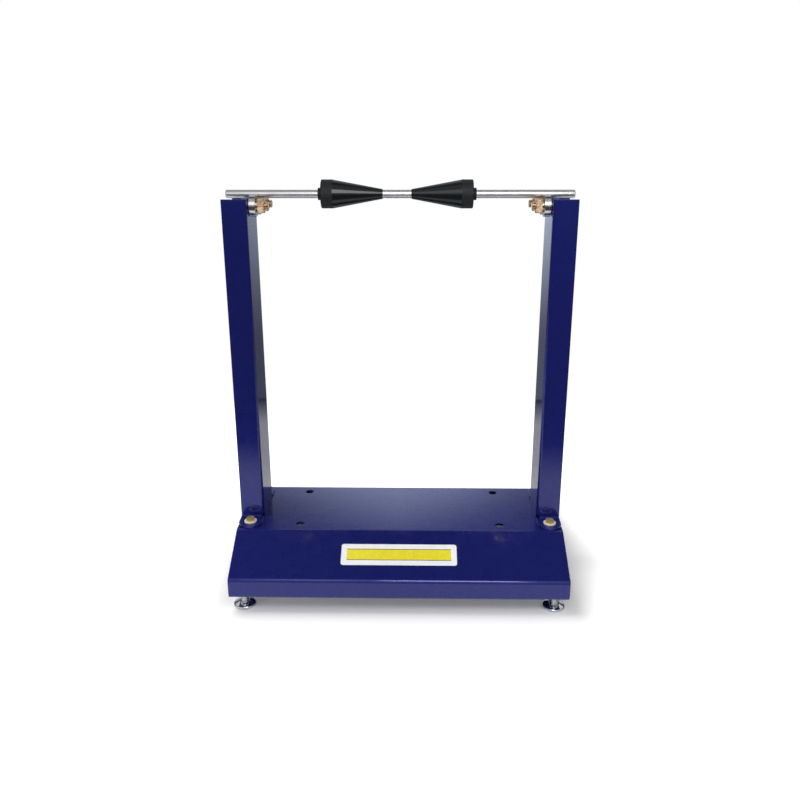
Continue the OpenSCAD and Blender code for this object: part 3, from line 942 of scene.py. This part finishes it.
def bolt_head(flats, height):
    """Hexagon with its outer end turned, closed to a pole at both ends."""
    rows = hexagon_rows(flats, height, False)
    pole = np.zeros((1, 2, HEX_STEPS))
    rows = np.concatenate([pole, rows, pole + np.array([0, height])[:, None]])
    return revolve(rows[:, 0], rows[:, 1], False)


def threaded_rod(radius, length, pitch, start, chamfer):
    """Rod from height 0 to a length with a thread from a start height to its end, which is chamfered.

    The thread takes from the radius a share of the pitch times a wave of the phase: flat at crest and
    root, straight on the flanks. The chamfer caps the radius near the end.
    """
    angle = np.linspace(0, 2 * np.pi, THREAD_STEPS, endpoint=False)
    turns = np.arange(start, length, pitch / ROWS_PER_PITCH)
    height = np.concatenate([[0.0], turns, [length]])[:, None]
    phase = (height / pitch - angle / (2 * np.pi)) % 1
    wave = np.clip((np.abs(2 * phase - 1) - CREST) / FLANK, 0, 1)
    cut = THREAD_DEPTH * pitch * wave * np.clip((height - start) / pitch, 0, 1)
    cap = radius - chamfer + (length - height)
    radii = np.minimum(radius - cut, cap)
    ends = np.zeros((1, THREAD_STEPS))
    radii = np.concatenate([ends, radii, ends])
    height = np.concatenate([[[0.0]], height, [[length]]])
    return revolve(radii, height, False)


def bolt(flats, head, radius, length, pitch):
    """Bolt with its seat at height 0, its thread upwards and its head below."""
    rod = threaded_rod(radius, length, pitch, PLAIN * pitch, END_CHAMFER * pitch)
    return join_parts([hanging(bolt_head(flats, head)), rod])


print("a hexagon has", HEX_STEPS, "points round it, and a thread has", ROWS_PER_PITCH, "rows to a turn")

# %% [markdown]
# ## Tab fasteners
# A bolt with a wide washer holds each foot tab, and a nut sits below the plate. All four of a kind are
# one piece, as they are one node of the engineering model.

# %% Bolts, washers and nuts at the tabs
TAB_FLATS, TAB_HEAD, TAB_NUT = 0.010, 0.004, 0.005
TAB_BOLT_R, TAB_PITCH = 0.003, 0.001
TAB_WASHER_R, TAB_WASHER = 0.008, 0.0016
WASHER_SOFT = 0.0003
FIT = 0.00005
tab_bolt_length = (TOP + SHEET + TAB_WASHER) - box_of("tab_bolts")[0][2]


def at_tabs(part, height):
    """Copies of a part at the four tabs, at a height over the plate."""
    places = [(side * TAB_X, way * TAB_Y, TOP + height) for side, way in CORNERS.values()]
    return join_parts([stand_at(part, place) for place in places])


tab_bolt = hanging(bolt(TAB_FLATS, TAB_HEAD, TAB_BOLT_R, tab_bolt_length, TAB_PITCH))
tab_washer = ring(TAB_HOLE, TAB_WASHER_R, TAB_WASHER, WASHER_SOFT)
tab_nut = nut(TAB_FLATS, TAB_NUT, TAB_BOLT_R + FIT)
for name, part, height, material in (
    ("tab_bolts", tab_bolt, SHEET + TAB_WASHER, OLIVE_ZINC),
    ("tab_washers", tab_washer, SHEET, PALE_ZINC),
    ("tab_nuts", tab_nut, -SHEET - TAB_NUT, OLIVE_ZINC),
):
    make_piece(f"{name}_plated", at_tabs(part, height), "frame", name, material)

# %% [markdown]
# ## The bearings
# A ball bearing has an inner ring, which stands still on its bolt here, an outer ring, which turns, and a
# thin shield on each side that keeps the dirt out. From afar a plain disc would do. Close up the gap
# between shield and ring shows, so the rings are turned outlines with the arc of the ball groove in them.
# Shields are pressed from thin sheet, so their outline has a shallow step.

# %% Rings and shields
BEARING_W, BEARING_R, BEARING_BORE = 0.008, 0.013, 0.005
RACE_R, GROOVE_R, GROOVE_STEPS = 0.009, 0.0025, 15
INNER_LAND, OUTER_LAND, SHIELD_SEAT = 0.00715, 0.01085, 0.01135
SHIELD_INSET, SHIELD_T, SHIELD_GAP, SHIELD_STEP = 0.0003, 0.0004, 0.0003, 0.00014
# Share of a shield's width from its inner edge, and share of the step there.
SHIELD_BANDS = np.array([(0, 0), (0.10, 0), (0.18, 1), (0.74, 1), (0.82, 0), (1, 0)])
RING_CHAMFER, RING_SOFT = 0.0004, 0.00015
HALF_RING = BEARING_W / 2
SHIELD_LOW = HALF_RING - SHIELD_INSET - SHIELD_T


def groove(land):
    """Arc of the ball groove between the two heights at which it meets a land.

    The cosine of the arc's reach is the land's distance from the race over the groove's radius.
    """
    reach = np.arccos(abs(land - RACE_R) / GROOVE_R)
    angle = np.linspace(-reach, reach, GROOVE_STEPS)
    outwards = np.sign(land - RACE_R)
    return np.stack([RACE_R + outwards * GROOVE_R * np.cos(angle), GROOVE_R * np.sin(angle)], -1)


def outer_ring():
    """Turned outline: a chamfered outside, a seat for each shield, and the groove between two lands."""
    shoulder, face = BEARING_R - RING_CHAMFER, HALF_RING - RING_CHAMFER
    side = [(SHIELD_SEAT, HALF_RING), (SHIELD_SEAT, SHIELD_LOW), (OUTER_LAND, SHIELD_LOW)]
    outside = [(shoulder, -HALF_RING), (BEARING_R, -face), (BEARING_R, face), (shoulder, HALF_RING)]
    lower = [(radius, -height) for radius, height in side]
    outline = np.concatenate([outside, side, groove(OUTER_LAND)[::-1], lower[::-1]])
    return lathe(soft_corners(outline, RING_SOFT))


def inner_ring():
    """Turned outline: the bore, two flat faces, and the groove between two lands."""
    face = [(BEARING_BORE, HALF_RING), (BEARING_BORE, -HALF_RING), (INNER_LAND, -HALF_RING)]
    outline = np.concatenate([face, groove(INNER_LAND), [(INNER_LAND, HALF_RING)]])
    return lathe(soft_corners(outline, RING_SOFT))


def shield():
    """Thin ring whose middle band is pressed outwards by a step."""
    inner, outer = INNER_LAND + SHIELD_GAP, SHIELD_SEAT - FIT
    share, pressed = SHIELD_BANDS.T
    radius = inner + (outer - inner) * share
    step = SHIELD_STEP * pressed
    upper = np.stack([radius, SHIELD_LOW + SHIELD_T + step], -1)
    lower = np.stack([radius, SHIELD_LOW + step], -1)[::-1]
    return lathe(soft_corners(np.concatenate([upper, lower]), SHIELD_T / 4))


print("an outer ring has", len(outer_ring()[1]), "faces and a shield", len(shield()[1]))

# %% [markdown]
# ## The bearing cradle
# Two bearings stand beside each other on each upright, and the shaft lies in the dip between them. From
# the upright to the wheel side come a spacer, the inner ring, a washer, a nut and the end of the bolt.
# The bolt heads on the other side are painted with the uprights. A painted head could be a piece of its
# own, but a second finish on its faces keeps the bolt in one piece. The outer rings turn, so they are
# pieces of their own with their shields.

# %% Bearings and what holds them
SPACER_T, BEARING_WASHER = 0.001, 0.0016
M10_FLATS, M10_HEAD, M10_NUT = 0.017, 0.0064, 0.008
M10_R, M10_PITCH, M10_END = 0.00495, 0.0015, 0.157


def face_middles(piece):
    """Middles of a piece's faces, one row each."""
    middles = np.empty(len(piece.data.polygons) * 3)
    piece.data.polygons.foreach_get("center", middles)
    return middles.reshape(-1, 3)


def second_finish(piece, material, chosen):
    """Another finish on the chosen faces of a piece."""
    piece.data.materials.append(material)
    piece.data.polygons.foreach_set("material_index", chosen.astype(np.int32))


def at_bearing(part, name, height=0.0):
    """A part with its height towards the wheel, at a height from the middle of a bearing."""
    side = CORNERS[name][0]
    place = np.array(joint[f"{name}_bearing_spin"]["pos_m"]) - [side * height, 0, 0]
    return lie_along_x(part, place, -side)


spacer_low = -HALF_RING - SPACER_T
m10_bolt = bolt(M10_FLATS, M10_HEAD, M10_R, WEB_X + SHEET - M10_END, M10_PITCH)
spacer = ring(BEARING_BORE + FIT, INNER_LAND, SPACER_T, RING_SOFT)
bearing_washer = ring(BEARING_BORE + FIT, INNER_LAND, BEARING_WASHER, WASHER_SOFT)
m10_nut = nut(M10_FLATS, M10_NUT, BEARING_BORE + FIT)
stack = {
    "bearing_bolts": (m10_bolt, spacer_low - SHEET, ZINC, "yellow_zinc"),
    "bearing_spacers": (spacer, spacer_low, ZINC, "yellow_zinc"),
    "bearing_inner_rings": (inner_ring(), 0.0, GROUND_STEEL, "bearing_steel"),
    "bearing_washers": (bearing_washer, HALF_RING, ZINC, "yellow_zinc"),
    "bearing_nuts": (m10_nut, HALF_RING + BEARING_WASHER, ZINC, "yellow_zinc"),
}
dressed = {}
for node, (part, height, material, slot) in stack.items():
    copies = join_parts([at_bearing(part, name, height) for name in CORNERS])
    dressed[node] = make_piece(f"{node}_dressed", copies, "frame", node, material)
heads = np.abs(face_middles(dressed["bearing_bolts"])[:, 0]) > WEB_X + SHEET
second_finish(dressed["bearing_bolts"], COAT, heads)

for name in CORNERS:
    body = f"{name}_bearing"
    make_piece(f"{name}_outer_ring_ground", at_bearing(outer_ring(), name), body,
               f"{name}_outer_ring", GROUND_STEEL)
    pair = join_parts([at_bearing(shield(), name), at_bearing(hanging(shield()), name)])
    make_piece(f"{name}_shields_pressed", pair, body, f"{name}_shields", PRESSED)

# %% [markdown]
# ## The shaft
# The shaft is a bar of drawn steel with chamfered ends. A Cylinder with a Bevel modifier would look the
# same. Here it is one outline from pole to pole, like the other turned pieces.

# %% Shaft
SHAFT_HALF = box_of("shaft")[1][0]
SHAFT_CHAMFER = 0.0008
TURNED_SOFT = 0.0003


def shaft():
    """Outline from pole to pole: a chamfered end and its mirror image; the poles have no soft corner."""
    end, neck = SHAFT_HALF, SHAFT_R - SHAFT_CHAMFER
    outline = [(0, -end), (neck, -end), (SHAFT_R, SHAFT_CHAMFER - end)]
    outline += [(radius, -height) for radius, height in outline[::-1]]
    soft = np.array([0, 1, 1, 1, 1, 0]) * TURNED_SOFT
    return lathe(soft_corners(outline, soft), False)


bar = lie_along_x(shaft(), (0, 0, SHAFT_Z), RIGHT)
make_piece("shaft_polished", bar, "shaft", "shaft", DRAWN)

# %% [markdown]
# ## The cones
# Each cone is turned from bar: a long taper, a straight band and a short hub, bored for the shaft. A set
# screw in the band holds it, so the band gets a cross hole. A turned surface has no place for that, and
# here the exact Boolean cuts it. The taper is smooth, and everything behind it is blasted.

# %% Cones and set screws
CONE_R, CONE_BORE, CONE_TIP, CONE_HUB = 0.017, 0.00505, 0.0058, 0.00725
CONE_TAPER, CONE_BACK, CONE_LENGTH, CONE_CHAMFER = 0.060, 0.074, 0.078, 0.0008
SET_R, SET_HOLE, SET_SINK, SET_CHAMFER = 0.0025, 0.00255, 0.0008, 0.0003
SOCKET_FLATS, SOCKET_DEPTH = 0.0025, 0.003
CONES = {"left": (LEFT, box_of("left_cone")[1][0]), "right": (RIGHT, box_of("right_cone")[0][0])}
screw_height = (CONE_TAPER + CONE_BACK) / 2


def cone():
    """Turned outline from the tip: taper, straight band with a chamfer, hub, and back along the bore."""
    outline = [(CONE_BORE, 0), (CONE_TIP, 0), (CONE_R, CONE_TAPER), (CONE_R, CONE_BACK - CONE_CHAMFER)]
    outline += [(CONE_R - CONE_CHAMFER, CONE_BACK), (CONE_HUB, CONE_BACK)]
    outline += [(CONE_HUB, CONE_LENGTH), (CONE_BORE, CONE_LENGTH)]
    return lathe(soft_corners(outline, TURNED_SOFT))


def set_screw():
    """Short rod with a hexagon socket, between the height of the shaft and the sink below the band."""
    low, high = CONE_BORE, CONE_R - SET_SINK
    floor_of_socket = high - SOCKET_DEPTH
    socket = hexagon_radius(SOCKET_FLATS)
    outline = [(0, low), (SET_R, low), (SET_R, high - SET_CHAMFER), (SET_R - SET_CHAMFER, high)]
    outline += [(socket, high), (socket, floor_of_socket), (0, floor_of_socket)]
    none = 0 * socket
    rows = np.array([(none + radius, none + height) for radius, height in outline])
    return revolve(rows[:, 0], rows[:, 1], False)


def point_back(part, place):
    """Turn a part's own height to run towards +Y, and move it to a place."""
    points, faces = part
    x, y, height = points.T
    return np.stack([x, height, -y], -1) + np.asarray(place), faces


def bored(part, drill):
    """A part with another part cut out of it by the exact Boolean."""
    solids = [add_object("solid", welded_mesh("solid", some)) for some in (part, drill)]
    cut = solids[0].modifiers.new("cut", "BOOLEAN")
    cut.operation = "DIFFERENCE"
    cut.solver = "EXACT"
    cut.object = solids[1]
    result = solids[0].evaluated_get(bpy.context.evaluated_depsgraph_get()).to_mesh()
    points = np.empty(len(result.vertices) * 3)
    result.vertices.foreach_get("co", points)
    faces = [list(face.vertices) for face in result.polygons]
    for solid in solids:
        bpy.data.objects.remove(solid)
    return points.reshape(-1, 3), faces


drill = lathe([(0, 0), (SET_HOLE, 0), (SET_HOLE, 2 * CONE_R), (0, 2 * CONE_R)], False)
for name, (side, tip) in CONES.items():
    body = f"{name}_cone"
    screw_place = (tip + side * screw_height, 0, SHAFT_Z)
    solid = bored(lie_along_x(cone(), (tip, 0, SHAFT_Z), side), point_back(drill, screw_place))
    piece = make_piece(f"{name}_cone_turned", solid, body, f"{name}_cone", TURNED_BLACK)
    second_finish(piece, BLASTED_BLACK, (face_middles(piece)[:, 0] - tip) * side > CONE_TAPER)
    screw = point_back(set_screw(), screw_place)
    make_piece(f"{name}_set_screw_oxide", screw, body, f"{name}_set_screw", BLACK_OXIDE)

# %% [markdown]
# ## The levelling feet
# A foot is a turned pad on a threaded stem, and two nuts clamp the stem to the flange under the lip. A
# Cylinder would do for the pad if its top did not rise to a hub, so it is turned like the rest. The pad
# and the stem move up and down as one, and the nuts stay with the base.

# %% Pads, stems and their nuts
PAD_R, PAD_HUB, PAD_EDGE, PAD_SOFT = 0.014, 0.007, 0.0008, 0.0005
PAD_RIM, PAD_TOP, PAD_FLOOR = 0.004, 0.0065, 0.0025
STEM_R, STEM_PITCH = 0.005, 0.0015
FOOT_FLATS, UPPER_NUT, LOWER_NUT = 0.017, 0.006, 0.005


def foot_pad():
    """Outline from pole to pole: a disc that rises to a hub, and a blind hole for the stem."""
    outline = [(0, 0), (PAD_R - PAD_EDGE, 0), (PAD_R, PAD_EDGE), (PAD_R, PAD_RIM - PAD_EDGE)]
    outline += [(PAD_R - PAD_EDGE, PAD_RIM), (PAD_HUB, PAD_TOP), (STEM_R + FIT, PAD_TOP)]
    outline += [(STEM_R + FIT, PAD_FLOOR), (0, PAD_FLOOR)]
    soft = np.array([0, 1, 1, 1, 1, 1, 0.4, 0, 0]) * PAD_SOFT
    return lathe(soft_corners(outline, soft), False)


foot_nuts = {
    "foot_upper_nuts": (UPPER_NUT, GROUND + SHEET),
    "foot_lower_nuts": (LOWER_NUT, GROUND - LOWER_NUT),
}
for node, (height, place) in foot_nuts.items():
    part = nut(FOOT_FLATS, height, STEM_R + FIT)
    copies = [stand_at(part, (side * FOOT_X, way * FOOT_Y, place)) for side, way in CORNERS.values()]
    make_piece(f"{node}_plated", join_parts(copies), "frame", node, PLATED)
for name, (side, way) in CORNERS.items():
    foot = (side * FOOT_X, way * FOOT_Y, 0)
    stem_low, stem_high = foot_place[name][0][2], foot_place[name][1][2]
    rod = threaded_rod(STEM_R, stem_high - stem_low, STEM_PITCH, PAD_TOP - stem_low, PAD_EDGE)
    pad = stand_at(foot_pad(), foot)
    stem = stand_at(rod, np.array(foot) + [0, 0, stem_low])
    body = f"{name}_foot"
    make_piece(f"{name}_foot_pad_plated", pad, body, f"{name}_foot_pad", PLATED)
    make_piece(f"{name}_foot_stem_threaded", stem, body, f"{name}_foot_stem", PLATED)

# %% [markdown]
# ## What stays as it was made
# The balls and their cages lie behind the shields. Their shapes are right as they are, so they only get
# finishes: ground steel for the balls, pressed steel for the cages.

# %% Finishes of the hidden pieces
for name in CORNERS:
    for kind, material in (("balls", GROUND_STEEL), ("cage", PRESSED)):
        for place in frame["nodes"][f"{name}_{kind}"].material_slots:
            place.material = material
print("the balls and cages have their finishes")

# %% [markdown]
# ## The floor
# The stand is shown on white paper, which takes its shadow and lights it from below. A plain grey plane
# would end somewhere in the view, so the paper goes over into white away from the stand: there it glows,
# but only for rays that come from the camera. Behind the stand the paper is painted darker, as shade that
# the glossy paint mirrors. Towards its front and back edges the paper gets dark, so that no hard edge
# shows in the glossy paint.

# %% Floor
FLOOR_SIDE, FLOOR_FRONT, FLOOR_BACK = 1.5, -0.52, 0.72
FLOOR_SHADE = 0.16
PAPER, PAPER_BACK, PAPER_CHANGE = 0.88, 0.62, (0.15, 0.35)
WHITE_OUT = 0.12
LIFT, LIFT_END = 0.14, (-0.09, 0.0)


def paper_floor():
    """Paper whose glow grows away from the stand's outline, painted darker behind the stand as shade, and dark
    towards its edges.
    """
    finish = Finish("paper_floor", Roughness=0.9, Specular_IOR_Level=0.0, Emission_Color=(1, 1, 1, 1))
    beyond = finish.vector("SUBTRACT", finish.vector("ABSOLUTE", finish.place), (HALF_WIDTH, HALF_DEPTH, 0))
    away = finish.vector("LENGTH", finish.vector("MAXIMUM", beyond, (0, 0, 0)))
    depth = finish.add("ShaderNodeSeparateXYZ", [("Vector", finish.place)]).outputs["Y"]
    white = finish.spread(away, 0.0, 1.0, 0.0, WHITE_OUT)
    white = finish.maths("MAXIMUM", white, finish.spread(depth, LIFT, 0.0, *LIFT_END))
    camera_ray = finish.add("ShaderNodeLightPath").outputs["Is Camera Ray"]
    finish.give("Emission Strength", finish.maths("MULTIPLY", camera_ray, white))
    front = finish.spread(depth, 0.0, PAPER, FLOOR_FRONT, FLOOR_FRONT + FLOOR_SHADE)
    back_edge = finish.spread(depth, 1.0, 0.0, FLOOR_BACK - FLOOR_SHADE, FLOOR_BACK)
    # Painted shade: the paper is darker behind the stand, and the glossy paint mirrors it.
    paper_shade_behind = finish.spread(depth, PAPER, PAPER_BACK, *PAPER_CHANGE)
    paper = finish.maths("MINIMUM", front, finish.maths("MULTIPLY", paper_shade_behind, back_edge))
    finish.colour(finish.add("ShaderNodeCombineColor", [(0, paper), (1, paper), (2, paper)]).outputs[0])
    return finish.material


def floor_sheet():
    """Flat rectangle at the height of the feet."""
    x, y = np.meshgrid([-FLOOR_SIDE, FLOOR_SIDE], [FLOOR_FRONT, FLOOR_BACK])
    mesh = bpy.data.meshes.new("floor")
    mesh.from_pydata(np.stack([x, y, 0 * x], -1).reshape(-1, 3).tolist(), [], grid_faces(2, 2))
    mesh.materials.append(paper_floor())
    return add_object("floor", mesh)


floor_sheet()
print("the floor is", 2 * FLOOR_SIDE, "wide")

# %% [markdown]
# ## The world
# The world is white where the camera looks past the floor. What the glossy paint mirrors is another
# matter, and a Light Path node tells the two apart. A picture of a studio could be mirrored, but a few
# patches of light do as well: a white backdrop low behind the stand, a grey wall in front, a bright strip
# high behind, and a dim room elsewhere. So the faces towards the camera stay deep blue while the top
# plate turns pale.

# %% World
AMBIENT, ROOM, WALL, STRIP = 0.12, 0.05, 0.46, 0.65
BACKDROP = (1.25, 1.40, 1.60)
BACKDROP_MIDDLE, BACKDROP_ARCH = 0.02, 0.25
BACKDROP_NEAR, BACKDROP_SIDE, SIDE_LEVEL = (0.0, 0.6), (0.05, 0.22), 0.34
BACKDROP_LOW, LOW_LEVEL = (-0.25, -0.03), 0.10
BACKDROP_HIGH, HIGH_LEVEL = (0.395, 0.49), 0.03
WALL_NEAR, WALL_LOW, WALL_HIGH = (-0.3, 0.1), (-0.11, 0.06), (0.96, 1.0)
STRIP_NEAR, STRIP_LOW, STRIP_HIGH = (0.0, 0.2), (0.52, 0.62), (0.86, 0.95)


def grey(level):
    """Colour with one level in red, green and blue."""
    return (level, level, level, 1)


def patch_of_light(graph, *steps):
    """Product of smooth steps, each a value, its two edges, and the levels before and after them."""
    share = 1.0
    for value, edges, before, after in steps:
        step = graph.spread(value, before, after, *edges, line="SMOOTHSTEP")
        share = graph.maths("MULTIPLY", share, step)
    return share


def studio_world():
    """White to the camera, patches of light by direction to glossy faces, and a dim grey to all others."""
    world = bpy.data.worlds.new("studio")
    bpy.context.scene.world = world
    world.use_nodes = True
    world.node_tree.nodes.clear()
    graph = Graph(world.node_tree)
    direction = graph.add("ShaderNodeTexCoord").outputs["Generated"]
    x, y, z = graph.add("ShaderNodeSeparateXYZ", [("Vector", direction)]).outputs
    aside = graph.maths("ABSOLUTE", graph.maths("ADD", x, BACKDROP_MIDDLE))
    arch = graph.maths("MULTIPLY_ADD", aside, BACKDROP_ARCH, z)
    backdrop = patch_of_light(
        graph, (y, BACKDROP_NEAR, 0.0, 1.0), (aside, BACKDROP_SIDE, 1.0, SIDE_LEVEL),
        (z, BACKDROP_LOW, LOW_LEVEL, 1.0), (arch, BACKDROP_HIGH, 1.0, HIGH_LEVEL),
    )
    wall = patch_of_light(
        graph, (y, WALL_NEAR, 1.0, 0.0), (z, WALL_LOW, 0.0, 1.0), (z, WALL_HIGH, 1.0, 0.0),
    )
    strip = patch_of_light(
        graph, (y, STRIP_NEAR, 0.0, 1.0), (z, STRIP_LOW, 0.0, 1.0), (z, STRIP_HIGH, 1.0, 0.0),
    )
    mirror = graph.mix(backdrop, grey(ROOM), (*BACKDROP, 1))
    mirror = graph.mix(wall, mirror, grey(WALL))
    mirror = graph.mix(strip, mirror, grey(STRIP))
    path = graph.add("ShaderNodeLightPath").outputs
    lit = graph.mix(path["Is Glossy Ray"], grey(AMBIENT), mirror)
    seen = graph.mix(path["Is Camera Ray"], lit, grey(1.0))
    background = graph.add("ShaderNodeBackground", [("Color", seen), ("Strength", 1.0)]).outputs[0]
    graph.add("ShaderNodeOutputWorld", [("Surface", background)])
    return world


print("the world has", len(studio_world().node_tree.nodes), "nodes")

# %% [markdown]
# ## Lamps
# A large lamp overhead on the left gives the soft shadow. Two softboxes high in front show as pale
# patches in the gloss. A low card on the left and a card beside the right upright only add light there,
# so they are hidden from glossy rays. Small lamps would give hard shadows, so all five are area lamps.

# %% Lamps
def softbox(name, place, target, size, watts, in_gloss):
    """Rectangular lamp at a place, facing a target, that shows in glossy surfaces or only lights."""
    lamp = bpy.data.lights.new(name, "AREA")
    lamp.shape = "RECTANGLE"
    lamp.size, lamp.size_y = size
    lamp.energy = watts
    holder = add_object(name, lamp)
    holder.location = place
    holder.rotation_euler = (Vector(target) - Vector(place)).to_track_quat("-Z", "Y").to_euler()
    holder.visible_glossy = in_gloss
    holder.visible_camera = False


# Place, target, size, watts, and whether the lamp shows in gloss.
LAMPS = {
    "overhead": ((-0.90, -0.05, 2.2), (0, -0.05, 0.2), (1.4, 1.4), 38.0, False),
    "front_box": ((0.11, -0.70, 0.84), (0, 0, 0.40), (0.34, 0.40), 2.3, True),
    "left_box": ((-0.24, -0.70, 0.84), (0, 0, 0.40), (0.24, 0.40), 0.38, True),
    "low_card": ((-0.60, -0.60, 0.09), (-0.16, -0.134, 0.05), (0.40, 0.14), 1.8, False),
    "right_card": ((0.45, -0.36, 0.38), (0.195, -0.033, 0.34), (0.20, 0.40), 0.9, False),
}
for name, settings in LAMPS.items():
    softbox(name, *settings)
print(len(LAMPS), "lamps")

# %% [markdown]
# ## Camera
# The camera stands a little right of the middle and looks down by about eighteen degrees. Its place and
# focal length were fitted to the straight edges of the photograph, so the view lines up with it.

# %% Camera
FOCAL_PIXELS, IMAGE_PIXELS, SENSOR = 822.606, 800, 36.0
PITCH, YAW, ROLL = np.radians([18.350, 1.078, -0.094])
CAMERA_PLACE = (0.018961, -1.017765, 0.574201)


def camera_axes():
    """Right, up and back of a camera turned by yaw, tilted down by pitch, then rolled about its view."""
    right = np.array([np.cos(YAW), np.sin(YAW), 0])
    level = np.array([-np.sin(YAW), np.cos(YAW), 0])
    rise = np.array([0, 0, 1])
    ahead = level * np.cos(PITCH) - rise * np.sin(PITCH)
    up = level * np.sin(PITCH) + rise * np.cos(PITCH)
    rolled_right = right * np.cos(ROLL) + up * np.sin(ROLL)
    rolled_up = up * np.cos(ROLL) - right * np.sin(ROLL)
    return np.column_stack([rolled_right, rolled_up, -ahead])


view = bpy.data.cameras.new("camera")
view.sensor_width = SENSOR
view.lens = FOCAL_PIXELS / IMAGE_PIXELS * SENSOR
camera = add_object("camera", view)
camera.matrix_world = Matrix.Translation(CAMERA_PLACE) @ Matrix(camera_axes().tolist()).to_4x4()
bpy.context.scene.camera = camera
bpy.context.scene.view_settings.view_transform = "Standard"
print("the lens is", round(view.lens, 2), "mm")
